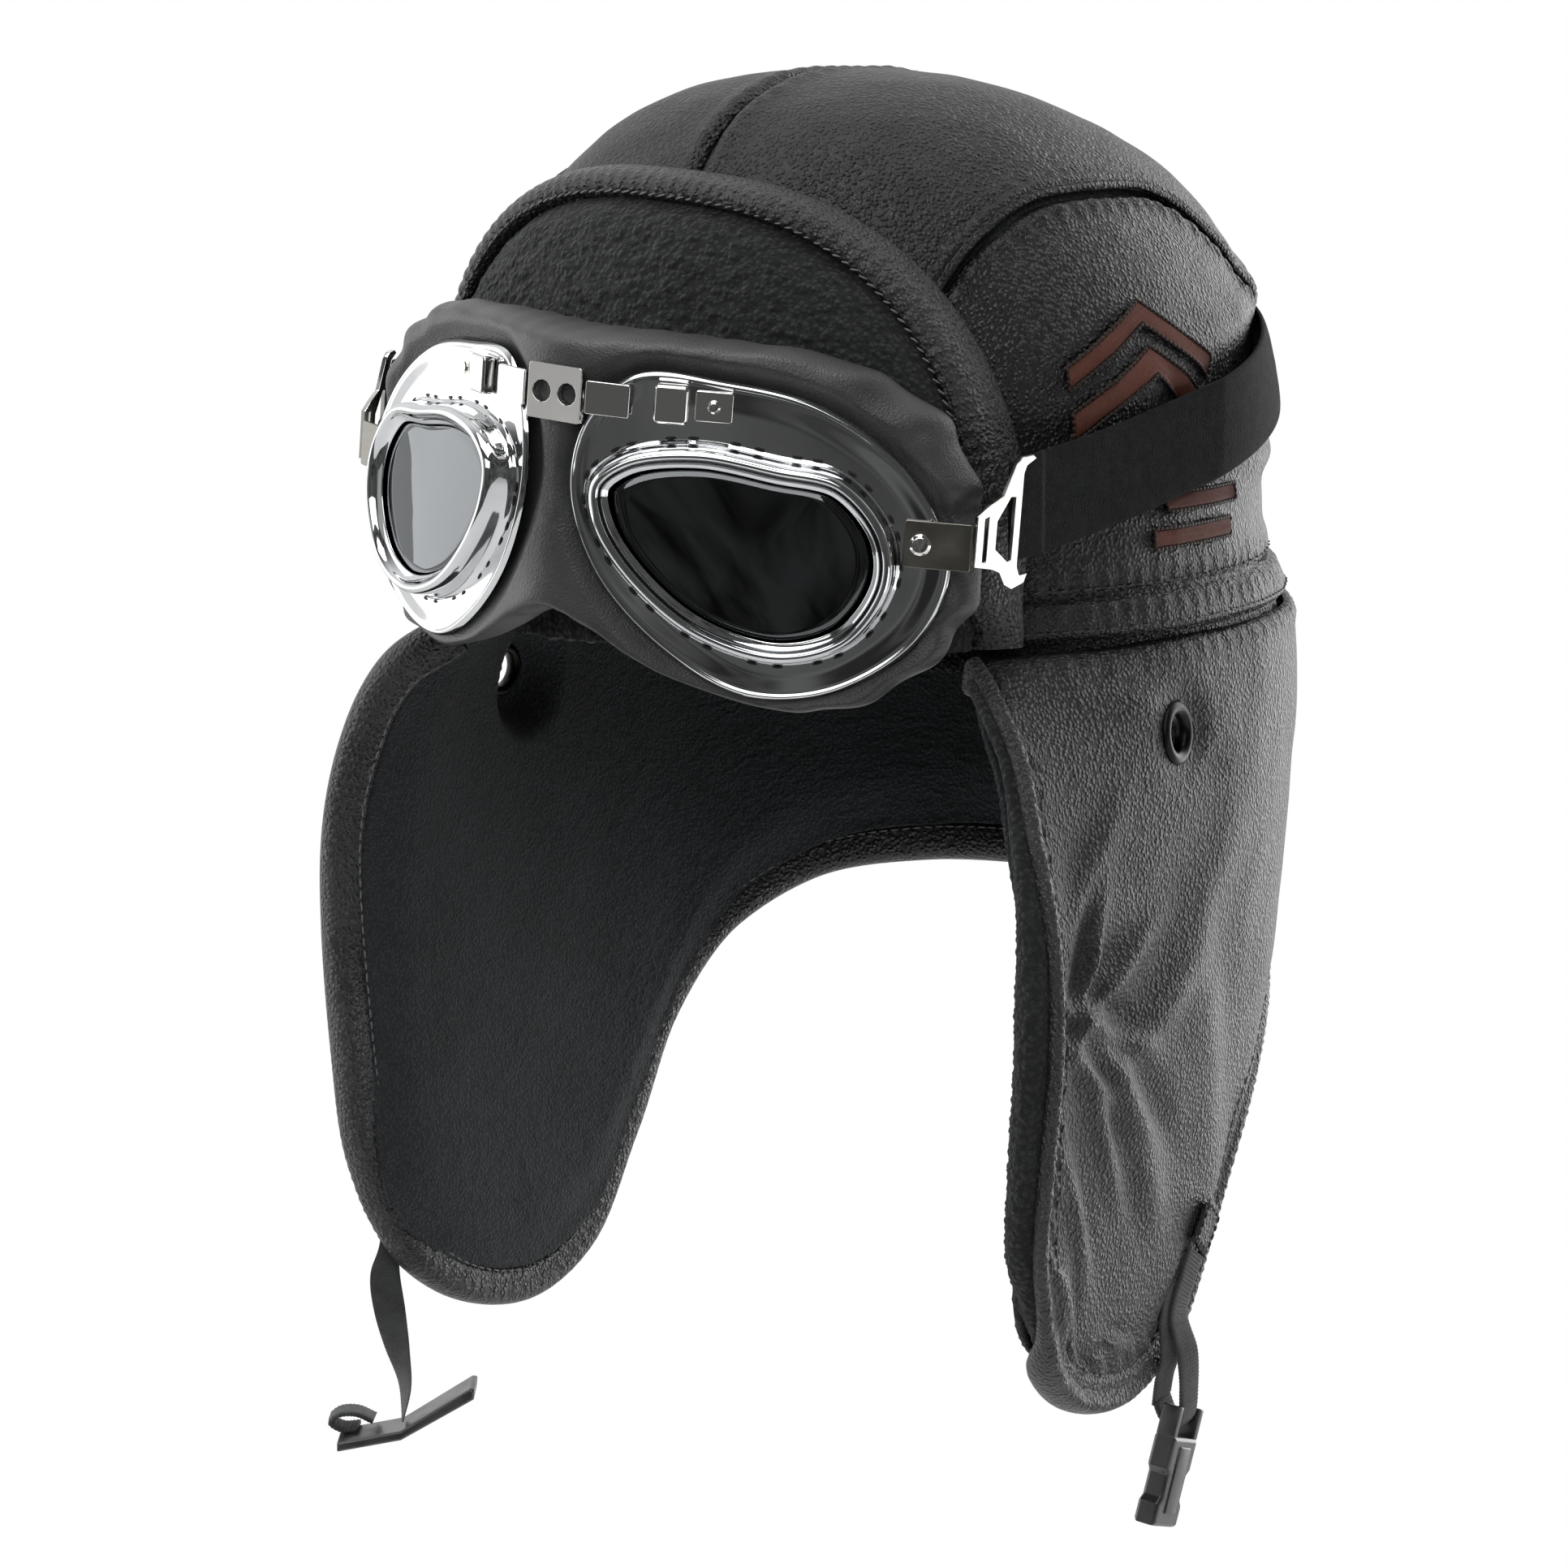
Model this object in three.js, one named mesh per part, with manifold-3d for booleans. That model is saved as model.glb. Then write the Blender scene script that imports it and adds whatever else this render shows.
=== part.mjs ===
import * as THREE from 'three';
import { mergeVertices } from 'three/addons/utils/BufferGeometryUtils.js';
import Module from 'manifold-3d';

// Aviator cap with turned-up fleece cuff, hanging ear flaps and goggles on an elastic strap.
// Millimetres. +Z is up, the face looks along -Y, the wearer's left is +X.
// Z = 0 is the seam at the brow, where the crown ends and the ear flaps begin.

// Crown: a rounded-box plan that domes over, outer leather face
const HALF_WIDTH = 93;
const FRONT_REACH = 95;
const BACK_REACH = 106;
const CENTRE_Y = 5.3;
const PLAN_POWER = 2.15;
const CROWN_TOP = 129;
const DOME_START = { front: 42, back: 28, change: 60 };
const DOME_LEAN = 16;
const DOME_POWER = 2.3;
const RIM_FLARE = 0.045;
const SEAM_GAP = 0.0022;

// Wall thicknesses
const LEATHER = 2;
const CROWN_FLEECE = 4;
const FLAP_FLEECE = 7;
const HEM_THICK = 8.4;
const HEM_WIDTH = 8;
const CLEAR = 0.7;

// Front cuff, the peak of the cap turned up against the crown
const CUFF_HALF_WIDTH = 79;
const CUFF_SHOULDER = 20;
const CUFF_RISE = 86;
const CUFF_BOTTOM = 0.2;
const CUFF_POWER = 2.6;
const CUFF_LEAN = 0.07;
const CUFF_THICK = 9;
const CUFF_RIM = 5;

// Goggles
const GOGGLE_ROLL = THREE.MathUtils.degToRad(5);
const GOGGLE_X = -2.4;
const GOGGLE_Z = 30.4;
const LENS_TURN = THREE.MathUtils.degToRad(29.5);
const LENS_X = 43;
const LENS_Y = -106;
const FLANGE_THICK = 1.2;
const BEZEL_HEIGHT = 7;
const BEZEL_WALL = 3.2;
const LENS_THICK = 2;
const LENS_SET = 3.4;
const SEAT_GAP = 0.3;

// Straps
const ELASTIC_WIDTH = 23;
const ELASTIC_THICK = 1.8;
const WEBBING_WIDTH = 8;
const WEBBING_THICK = 1.4;

const wasm = await Module();
wasm.setup();

const hat = new THREE.Group();

const FINISH = {
  leather: { color: 0x232325, roughness: 0.45, metalness: 0 },
  fleece: { color: 0x17191a, roughness: 1, metalness: 0 },
  padding: { color: 0x2c2d2f, roughness: 0.6, metalness: 0 },
  chrome: { color: 0xd8dadc, roughness: 0.08, metalness: 1 },
  gunmetal: { color: 0x4a4742, roughness: 0.3, metalness: 1 },
  nickel: { color: 0xdedcd6, roughness: 0.2, metalness: 1 },
  glass: { color: 0x1c2022, roughness: 0.05, metalness: 0 },
  elastic: { color: 0x26292a, roughness: 0.9, metalness: 0 },
  webbing: { color: 0x3a3b3a, roughness: 0.85, metalness: 0 },
  plastic: { color: 0x4c4f50, roughness: 0.35, metalness: 0 },
};

function addPiece(name, geometry, finish, parent = hat) {
  const mesh = new THREE.Mesh(geometry, new THREE.MeshStandardMaterial(FINISH[finish]));
  mesh.name = name;
  parent.add(mesh);
  return mesh;
}

// Mesh helpers: closed solids from grids of points

function solidFromTriangles(points, triangles) {
  const geometry = new THREE.BufferGeometry();
  const flat = points.flatMap((point) => [point.x, point.y, point.z]);
  geometry.setAttribute('position', new THREE.Float32BufferAttribute(flat, 3));
  let volume = 0;
  const cross = new THREE.Vector3();
  for (const [a, b, c] of triangles) {
    volume += points[a].dot(cross.crossVectors(points[b], points[c]));
  }
  const outward = volume > 0 ? triangles : triangles.map(([a, b, c]) => [a, c, b]);
  geometry.setIndex(outward.flat());
  return geometry;
}

// A sheet of columns x rows points with an outer and an inner face and closed edges
function sheetSolid(columns, rows, pointAt) {
  const points = [];
  for (const side of ['outer', 'inner']) {
    for (let column = 0; column < columns; column += 1) {
      for (let row = 0; row < rows; row += 1) {
        points.push(pointAt(column, row, side));
      }
    }
  }
  const layer = columns * rows;
  const index = (column, row, side) => side * layer + column * rows + row;
  const triangles = [];
  const addQuad = (a, b, c, d) => triangles.push([a, b, c], [a, c, d]);
  for (let column = 0; column + 1 < columns; column += 1) {
    for (let row = 0; row + 1 < rows; row += 1) {
      const corner = (side) => [
        index(column, row, side),
        index(column + 1, row, side),
        index(column + 1, row + 1, side),
        index(column, row + 1, side),
      ];
      const [a, b, c, d] = corner(0);
      addQuad(a, b, c, d);
      const [e, f, g, h] = corner(1);
      addQuad(e, h, g, f);
    }
  }
  for (let column = 0; column + 1 < columns; column += 1) {
    addQuad(index(column, 0, 1), index(column + 1, 0, 1), index(column + 1, 0, 0), index(column, 0, 0));
    const last = rows - 1;
    addQuad(
      index(column, last, 0), index(column + 1, last, 0),
      index(column + 1, last, 1), index(column, last, 1),
    );
  }
  for (let row = 0; row + 1 < rows; row += 1) {
    addQuad(index(0, row, 0), index(0, row + 1, 0), index(0, row + 1, 1), index(0, row, 1));
    const last = columns - 1;
    addQuad(
      index(last, row, 1), index(last, row + 1, 1),
      index(last, row + 1, 0), index(last, row, 0),
    );
  }
  return solidFromTriangles(points, triangles);
}

// Closed surface from rings of equal length, with its first and last rings capped by a point
function ringSolid(rings, firstTip, lastTip) {
  const count = rings[0].length;
  const points = [...rings.flat(), firstTip, lastTip];
  const triangles = [];
  for (let ring = 0; ring + 1 < rings.length; ring += 1) {
    for (let step = 0; step < count; step += 1) {
      const next = (step + 1) % count;
      const [a, b] = [ring * count + step, ring * count + next];
      triangles.push([a, b, b + count], [a, b + count, a + count]);
    }
  }
  const lastStart = (rings.length - 1) * count;
  for (let step = 0; step < count; step += 1) {
    const next = (step + 1) % count;
    triangles.push([points.length - 2, next, step]);
    triangles.push([points.length - 1, lastStart + step, lastStart + next]);
  }
  return solidFromTriangles(points, triangles);
}

function toManifold(geometry) {
  const bare = geometry.clone();
  bare.deleteAttribute('normal');
  bare.deleteAttribute('uv');
  const merged = mergeVertices(bare, 1e-4);
  return new wasm.Manifold(new wasm.Mesh({
    numProp: 3,
    vertProperties: new Float32Array(merged.attributes.position.array),
    triVerts: new Uint32Array(merged.index.array),
  }));
}

function fromManifold(manifold) {
  const { vertProperties, triVerts } = manifold.getMesh();
  const geometry = new THREE.BufferGeometry();
  geometry.setAttribute('position', new THREE.BufferAttribute(new Float32Array(vertProperties), 3));
  geometry.setIndex(new THREE.BufferAttribute(new Uint32Array(triVerts), 1));
  return geometry;
}

function cutOut(geometry, tools) {
  const cut = tools.reduce((solid, tool) => solid.subtract(toManifold(tool)), toManifold(geometry));
  return fromManifold(cut);
}

function spread(count, from, to) {
  return Array.from({ length: count }, (_, step) => from + ((to - from) * step) / (count - 1));
}

function roundTrip(rows) {
  return new THREE.CatmullRomCurve3(rows.map((row) => new THREE.Vector3(...row)), false, 'centripetal');
}

// Crown surface

function crownExcess(x, y, z, offset) {
  const grow = 1 + offset / FRONT_REACH;
  const backward = THREE.MathUtils.smoothstep(y, CENTRE_Y - DOME_START.change, CENTRE_Y + DOME_START.change);
  const domeStart = THREE.MathUtils.lerp(DOME_START.front, DOME_START.back, backward);
  const rise = Math.max(0, (z - domeStart) / (CROWN_TOP - domeStart + offset));
  const middle = CENTRE_Y - DOME_LEAN * Math.min(1, rise) ** 3;
  const reach = y < middle ? FRONT_REACH : BACK_REACH;
  const across = Math.abs(x) / (grow * HALF_WIDTH);
  const along = Math.abs(y - middle) / (grow * reach);
  const plan = (across ** PLAN_POWER + along ** PLAN_POWER) ** (1 / PLAN_POWER);
  if (z < domeStart) {
    return plan - 1 - RIM_FLARE * ((domeStart - z) / domeStart) ** 1.5;
  }
  return plan ** DOME_POWER + rise ** DOME_POWER - 1;
}

function firstOutside(pointAt, offset) {
  let inside = 0;
  let outside = 200;
  while (outside - inside > 1e-4) {
    const middle = (inside + outside) / 2;
    const { x, y, z } = pointAt(middle);
    if (crownExcess(x, y, z, offset) > 0) {
      outside = middle;
    } else {
      inside = middle;
    }
  }
  return pointAt(outside);
}

const CROWN_CENTRE = new THREE.Vector3(0, CENTRE_Y, 0);

function crownToward(direction, offset) {
  const unit = direction.clone().normalize();
  return firstOutside((reach) => CROWN_CENTRE.clone().addScaledVector(unit, reach), offset);
}

function crownAtHeight(planAngle, z, offset) {
  const unit = new THREE.Vector3(Math.cos(planAngle), Math.sin(planAngle), 0);
  const start = new THREE.Vector3(0, CENTRE_Y, z);
  return firstOutside((reach) => start.clone().addScaledVector(unit, reach), offset);
}

function crownFront(x, z, offset) {
  return firstOutside((reach) => new THREE.Vector3(x, CENTRE_Y - reach, z), offset);
}

// Side seam: how far out it runs as the crown is followed from brow (0) over the top to nape (180)
const SIDE_SEAM = [
  { over: 0, out: 0.62 },
  { over: 28, out: 0.58 },
  { over: 51, out: 0.583 },
  { over: 66, out: 0.622 },
  { over: 81, out: 0.695 },
  { over: 95, out: 0.725 },
  { over: 108, out: 0.8 },
  { over: 122, out: 0.86 },
  { over: 140, out: 0.76 },
  { over: 160, out: 0.6 },
  { over: 180, out: 0.5 },
];
const seamCurve = roundTrip(SIDE_SEAM.map(({ over, out }) => [over, out * 100, 0]));

function seamOut(over) {
  let low = 0;
  let high = 1;
  while (high - low > 1e-6) {
    const middle = (low + high) / 2;
    if (seamCurve.getPoint(middle).x < over) {
      low = middle;
    } else {
      high = middle;
    }
  }
  return seamCurve.getPoint(high).y / 100;
}

function overDirection(over, out) {
  const angle = THREE.MathUtils.degToRad(over);
  return new THREE.Vector3(out, -Math.cos(angle), Math.sin(angle));
}

// Slow dents that the stuffed leather shows, in mm, by place on the crown
function crownDent(point) {
  const ripple = Math.sin(point.y / 19 + 1) * Math.sin(point.z / 23 + point.x / 31);
  return 0.5 * ripple;
}

function crownPanelPoint(direction, side) {
  const skin = crownToward(direction, 0);
  const offset = side === 'outer' ? crownDent(skin) : -LEATHER;
  return crownToward(direction, offset);
}

function topPanel(sign) {
  const overs = spread(21, 0, 180);
  const acrosses = spread(6, 0, 1);
  return sheetSolid(overs.length, acrosses.length, (column, row, side) => {
    const over = overs[column];
    const out = SEAM_GAP + (seamOut(over) - 2 * SEAM_GAP) * acrosses[row];
    const direction = overDirection(over, sign * out);
    return crownPanelPoint(direction, side);
  });
}

function sidePanel(sign) {
  const overs = spread(19, 7, 173);
  const downs = spread(6, 0, 1);
  const frontAngle = Math.atan2(-1, seamOut(0) + SEAM_GAP);
  const backAngle = Math.atan2(1, seamOut(180) + SEAM_GAP);
  const angles = spread(overs.length, frontAngle, backAngle);
  return sheetSolid(overs.length, downs.length, (column, row, side) => {
    const over = overs[column];
    const seam = overDirection(over, seamOut(over) + SEAM_GAP).normalize();
    const base = new THREE.Vector3(Math.cos(angles[column]), Math.sin(angles[column]), 0);
    const direction = seam.lerp(base, downs[row]);
    direction.x *= sign;
    return crownPanelPoint(direction, side);
  });
}

for (const [side, sign] of [['left', 1], ['right', -1]]) {
  addPiece(`crown_top_${side}`, topPanel(sign), 'leather');
  addPiece(`crown_side_${side}`, sidePanel(sign), 'leather');
}

// Crown lining: one fleece dome inside the leather, open below
function crownLining() {
  const around = 32;
  const heights = [0, 18, 34, 48, 61, 72, 81];
  const outerOffset = -LEATHER - 1.2;
  const innerOffset = outerOffset - CROWN_FLEECE;
  const ring = (height, offset) => spread(around + 1, 0, 2 * Math.PI).slice(0, -1).map((angle) => {
    const rise = THREE.MathUtils.degToRad(height);
    const flat = Math.cos(rise);
    const direction = new THREE.Vector3(flat * Math.cos(angle), flat * Math.sin(angle), Math.sin(rise));
    return crownToward(direction, offset);
  });
  const rings = [
    ...heights.map((height) => ring(height, outerOffset)).reverse(),
    ...heights.map((height) => ring(height, innerOffset)),
  ];
  const up = new THREE.Vector3(0, 0, 1);
  return ringSolid(rings, crownToward(up, outerOffset), crownToward(up, innerOffset));
}
addPiece('crown_lining', crownLining(), 'fleece');

// Ear flaps and neck flap: one skirt, mirrored left and right of the centre back.
// Its left half is stretched between the brow seam, the hem and the front edge.
const FLAP_FRONT_ANGLE = THREE.MathUtils.degToRad(-45.5);
const FLAP_TOP = -CLEAR;

const HEM = roundTrip([
  // x, y, z, from the centre back to the toe of the flap
  [0, 110, -84],
  [42, 103, -85],
  [67, 85, -89],
  [81, 62, -101],
  [88, 41, -124],
  [89, 22, -152],
  [89, 3, -176],
  [90, -21, -185],
  [92, -48, -180],
  [95, -67, -167],
  [96.8, -75.5, -153],
]);

const FRONT_EDGE = roundTrip([
  // x, y, z, from the brow seam down to the toe of the flap
  [75, -69, FLAP_TOP],
  [85, -77, -9],
  [91.8, -79.7, -20],
  [96.3, -82.7, -35],
  [101, -83.4, -58],
  [101.6, -83.2, -82],
  [100.2, -83, -108],
  [98.2, -81, -136],
  [96.8, -75.5, -153],
]);

const FLAP_FOLDS = [
  // place along and down the flap, length, width and height of the fold, and its slant in degrees
  { along: 0.8, down: 0.52, length: 26, width: 5, height: 1.6, slant: 35 },
  { along: 0.76, down: 0.66, length: 24, width: 5, height: 1.4, slant: -30 },
  { along: 0.83, down: 0.8, length: 20, width: 4.5, height: 1.2, slant: 20 },
  { along: 0.62, down: 0.42, length: 30, width: 6, height: 1.2, slant: 60 },
];

function browSeam(along) {
  const angle = THREE.MathUtils.lerp(Math.PI / 2, FLAP_FRONT_ANGLE, along);
  const point = crownAtHeight(angle, 0, 0);
  point.z = FLAP_TOP;
  return point;
}

const FRONT_TOP = FRONT_EDGE.getPointAt(0);
const TOE = HEM.getPointAt(1);

// Straight lines run from the seam to the hem; near the front they bow out to the front edge
const FRONT_BOW_POWER = 5;
const NAPE_SWELL = 3;
const EAR_SWELL = 7;

function halfSkirt(along, down) {
  const top = browSeam(along).lerp(FRONT_TOP, along ** (FRONT_BOW_POWER + 1));
  const skin = top.lerp(HEM.getPointAt(along), down);
  const frontLine = FRONT_TOP.clone().lerp(TOE, down);
  const bow = FRONT_EDGE.getPointAt(down).sub(frontLine);
  skin.addScaledVector(bow, along ** FRONT_BOW_POWER);
  skin.y += NAPE_SWELL * Math.sin(Math.PI * down) * (1 - along);
  skin.x += EAR_SWELL * Math.sin(Math.PI * Math.sqrt(down)) * along * (1 - along ** 4);
  return skin;
}

function skirtSkin(along, down) {
  const point = halfSkirt(Math.abs(along), down);
  if (along < 0) {
    point.x = -point.x;
  }
  return point;
}

function skirtNormal(along, down) {
  const step = 0.004;
  const [lowAlong, highAlong] = [Math.max(along - step, -1), Math.min(along + step, 1)];
  const [lowDown, highDown] = [Math.max(down - step, 0), Math.min(down + step, 1)];
  const across = skirtSkin(highAlong, down).sub(skirtSkin(lowAlong, down));
  const drop = skirtSkin(along, highDown).sub(skirtSkin(along, lowDown));
  return across.cross(drop).normalize();
}

function skirtPoint(along, down, offset) {
  return skirtSkin(along, down).addScaledVector(skirtNormal(along, down), offset);
}

function foldHeight(along, down) {
  const flapLength = 180;
  const seamLength = 220;
  return FLAP_FOLDS.reduce((total, fold) => {
    const x = (Math.abs(along) - fold.along) * seamLength;
    const y = (down - fold.down) * flapLength;
    const slant = THREE.MathUtils.degToRad(fold.slant);
    const lengthwise = (x * Math.cos(slant) + y * Math.sin(slant)) / fold.length;
    const crosswise = (y * Math.cos(slant) - x * Math.sin(slant)) / fold.width;
    return total + fold.height * Math.exp(-(lengthwise ** 2) - crosswise ** 2);
  }, 0);
}

function columnLength(along) {
  return skirtSkin(along, 0).distanceTo(skirtSkin(along, 1));
}

const HALF_ALONG = [0.03, 0.1, 0.17, 0.24, 0.31, 0.38, 0.45, 0.52, 0.59, 0.66, 0.73, 0.8, 0.87, 0.93];
const EDGE_ALONG = 0.035;

function skirtColumns(edges) {
  const half = [...HALF_ALONG, ...edges];
  return [...half.map((along) => -along).reverse(), 0, ...half];
}

function flapLeather() {
  const columns = skirtColumns([1 - EDGE_ALONG - 0.005, 1 - EDGE_ALONG, 1]);
  const inset = 9;
  const rows = 13;
  return sheetSolid(columns.length, rows, (column, row, side) => {
    const along = columns[column];
    const length = columnLength(along);
    const body = 1 - (HEM_WIDTH + 1) / length;
    const down = [
      ...spread(rows - 2, 0, body),
      1 - HEM_WIDTH / length,
      1,
    ][row];
    const inHem = row >= rows - 2 || Math.abs(along) > 1 - EDGE_ALONG - 0.001;
    if (side === 'outer') {
      const puff = inHem ? 0 : 0.6 * Math.min(1, ((1 - down) * length) / inset);
      return skirtPoint(along, down, puff + (inHem ? 0 : foldHeight(along, down)));
    }
    const onEdge = row === rows - 1 || Math.abs(along) === 1;
    const depth = onEdge ? HEM_THICK - 2 : HEM_THICK;
    return skirtPoint(along, down, inHem ? -depth : -LEATHER);
  });
}

function flapLining() {
  const columns = skirtColumns([1 - EDGE_ALONG - 0.018]);
  const rows = 11;
  return sheetSolid(columns.length, rows, (column, row, side) => {
    const along = columns[column];
    const reach = 1 - (HEM_WIDTH + 2.6) / columnLength(along);
    const down = spread(rows, 1.4 / columnLength(along), reach)[row];
    const edge = row === rows - 1 || column === 0 || column === columns.length - 1;
    const swell = edge ? 0 : 1.6;
    const outer = -LEATHER - 0.9;
    return skirtPoint(along, down, side === 'outer' ? outer : outer - FLAP_FLEECE - swell);
  });
}

// Eyelets: one through each flap
const EYELET = { y: -17, z: -23, hole: 4, neck: 5, flange: 7.5, backFlange: 6.4 };
const DIMPLE = { radius: 8.3, mouth: 13, depth: 14 };

function nearestOnSkirt(y, z) {
  let best = { distance: Infinity, along: 0.7, down: 0.5 };
  for (let reach = 0.3; reach > 1e-4; reach /= 4) {
    const centre = { ...best };
    const alongs = spread(13, centre.along - reach, Math.min(1, centre.along + reach));
    const drop = 1.7 * reach;
    const downs = spread(13, Math.max(0, centre.down - drop), Math.min(1, centre.down + drop));
    for (const along of alongs) {
      for (const down of downs) {
        const point = skirtSkin(along, down);
        const distance = Math.hypot(point.y - y, point.z - z);
        if (distance < best.distance) {
          best = { distance, along, down };
        }
      }
    }
  }
  return best;
}

function onFlap(sign, y, z, lift) {
  const { along, down } = nearestOnSkirt(y, z);
  return skirtPoint(sign * along, down, lift + foldHeight(along, down));
}

const eyeletSpot = nearestOnSkirt(EYELET.y, EYELET.z);
function placeAlongNormal(mesh, sign, outward) {
  const along = sign * eyeletSpot.along;
  const point = skirtPoint(along, eyeletSpot.down, outward);
  const normal = skirtNormal(along, eyeletSpot.down);
  mesh.position.copy(point);
  mesh.quaternion.setFromUnitVectors(new THREE.Vector3(0, 1, 0), normal);
  mesh.updateMatrixWorld();
  return mesh;
}

function eyeletGeometry() {
  const profile = [
    [EYELET.hole, -LEATHER - 2.6],
    [EYELET.backFlange, -LEATHER - 2.6],
    [EYELET.backFlange, -LEATHER - 1.7],
    [EYELET.neck - 0.4, -LEATHER - 1.7],
    [EYELET.neck - 0.4, 1.3],
    [EYELET.flange, 1.3],
    [EYELET.flange - 0.8, 2.4],
    [EYELET.hole + 0.6, 2.8],
    [EYELET.hole, 2.2],
    [EYELET.hole, -LEATHER - 2.6],
  ];
  return new THREE.LatheGeometry(profile.map(([r, y]) => new THREE.Vector2(r, y)), 20);
}

// Round cutters through both flaps, between two offsets from the skin
function eyeletPunches(innerRadius, outerRadius, from, to) {
  return [1, -1].map((sign) => {
    const punch = new THREE.Mesh(new THREE.CylinderGeometry(outerRadius, innerRadius, to - from, 20));
    placeAlongNormal(punch, sign, (from + to) / 2);
    return punch.geometry.applyMatrix4(punch.matrixWorld);
  });
}

const leatherPunches = eyeletPunches(EYELET.neck, EYELET.neck, -DIMPLE.depth, DIMPLE.depth);
const liningPunches = eyeletPunches(DIMPLE.mouth, DIMPLE.radius, -DIMPLE.depth, 0);
addPiece('ear_neck_flap', cutOut(flapLeather(), leatherPunches), 'leather');
addPiece('flap_lining', cutOut(flapLining(), liningPunches), 'fleece');
for (const [side, sign] of [['left', 1], ['right', -1]]) {
  placeAlongNormal(addPiece(`eyelet_${side}`, eyeletGeometry(), 'gunmetal'), sign, 0);
}

// Front cuff: leather back and rim, with a fleece face set inside the rim

function archTop(x, inset) {
  const half = CUFF_HALF_WIDTH - inset;
  const across = Math.min(1, Math.abs(x) / half);
  const arch = (1 - across ** CUFF_POWER) ** (1 / CUFF_POWER);
  return CUFF_SHOULDER + (CUFF_RISE - inset) * arch - CUFF_LEAN * x;
}

const CUFF_GAP = 1;

function mirroredColumns(half) {
  return [...half.slice(1).reverse().map((x) => -x), ...half];
}

function cuffColumns(reach) {
  return spread(10, 0, 1).map((step) => reach * Math.sin((step * Math.PI) / 2));
}

function cuffLeather() {
  const inner = CUFF_HALF_WIDTH - CUFF_RIM;
  const columns = mirroredColumns([...cuffColumns(inner - 0.7), inner, CUFF_HALF_WIDTH]);
  const rows = 9;
  return sheetSolid(columns.length, rows, (column, row, side) => {
    const x = columns[column];
    const rimColumn = Math.abs(x) > inner - 0.1;
    const innerTop = archTop(x, CUFF_RIM);
    const z = [
      ...spread(rows - 2, CUFF_BOTTOM, innerTop - 0.7),
      innerTop,
      archTop(x, 0),
    ][row];
    const inRim = rimColumn || row >= rows - 2;
    const onEdge = row === rows - 1 || Math.abs(x) === CUFF_HALF_WIDTH;
    const thick = onEdge ? CUFF_THICK - 2 : CUFF_THICK;
    return crownFront(x, z, CUFF_GAP + (side === 'inner' ? 0 : inRim ? thick : LEATHER));
  });
}

function cuffFleece() {
  const inset = CUFF_RIM + 1.5;
  const columns = mirroredColumns(cuffColumns(CUFF_HALF_WIDTH - inset));
  const rows = 8;
  return sheetSolid(columns.length, rows, (column, row, side) => {
    const x = columns[column];
    const z = spread(rows, CUFF_BOTTOM, archTop(x, inset))[row];
    return crownFront(x, z, CUFF_GAP + (side === 'inner' ? LEATHER + 0.7 : CUFF_THICK));
  });
}
addPiece('front_cuff_leather', cuffLeather(), 'leather');
addPiece('front_cuff_fleece', cuffFleece(), 'fleece');

// Goggles: everything hard sits in a group that is rolled a little, lower at the wearer's left

const goggles = new THREE.Group();
goggles.position.set(GOGGLE_X, 0, GOGGLE_Z);
goggles.rotation.y = GOGGLE_ROLL;
hat.add(goggles);

function goggleToWorld(x, y, z) {
  const point = new THREE.Vector3(x, y, z);
  point.applyAxisAngle(new THREE.Vector3(0, 1, 0), GOGGLE_ROLL);
  point.x += GOGGLE_X;
  point.z += GOGGLE_Z;
  return point;
}

function smoothOutline(rows) {
  const points = rows.map(([out, up]) => new THREE.Vector3(out, up, 0));
  return new THREE.CatmullRomCurve3(points, true, 'centripetal');
}

// Outlines in the plane of the lens: out is away from the nose
const FLANGE_OUTLINE = smoothOutline([
  [-30, 35], [-10, 35], [12, 31], [32, 18], [42.5, -1], [37, -19],
  [19, -32.5], [-1, -35], [-20, -26], [-36, -10], [-43, 9], [-40, 25],
]);
const BEZEL_OUTLINE = smoothOutline([
  [-31, 17.5], [-15, 20.5], [3, 18.5], [18, 16], [28.5, 5], [30, -7],
  [22, -20.5], [7, -26], [-12, -22], [-27, -11.5], [-36.5, 1], [-38, 11],
]);
const OUTLINE_STEPS = 32;

function outlinePoints(curve, inset, steps = OUTLINE_STEPS) {
  return spread(steps + 1, 0, 1).slice(0, -1).map((place) => {
    const point = curve.getPoint(place);
    const tangent = curve.getTangent(place);
    return new THREE.Vector2(point.x + tangent.y * inset, point.y - tangent.x * inset);
  });
}

function plateShape(outline, hole) {
  const shape = new THREE.Shape(outline);
  if (hole) {
    shape.holes.push(new THREE.Path([...hole].reverse()));
  }
  return shape;
}

function flat(shape, depth, bevel = 0, steps = 6) {
  return new THREE.ExtrudeGeometry(shape, {
    depth: depth - 2 * bevel,
    bevelEnabled: bevel > 0,
    bevelThickness: bevel,
    bevelSize: bevel,
    bevelOffset: -bevel,
    bevelSegments: 1,
    curveSegments: steps,
  }).translate(0, 0, bevel);
}

// A lens group: its X runs outward, its Y up, its Z forward out of the face
function lensGroup(sign) {
  const group = new THREE.Group();
  group.position.set(sign * LENS_X, LENS_Y, 0);
  const out = new THREE.Vector3(sign * Math.cos(LENS_TURN), Math.sin(LENS_TURN), 0);
  const up = new THREE.Vector3(0, 0, 1);
  const forward = new THREE.Vector3(sign * Math.sin(LENS_TURN), -Math.cos(LENS_TURN), 0);
  const basis = new THREE.Matrix4().makeBasis(
    sign > 0 ? out : out.clone().negate(),
    up,
    forward,
  );
  group.quaternion.setFromRotationMatrix(basis);
  goggles.add(group);
  return group;
}

function sided(points, sign) {
  return points.map((point) => new THREE.Vector2(sign * point.x, point.y));
}

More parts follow.
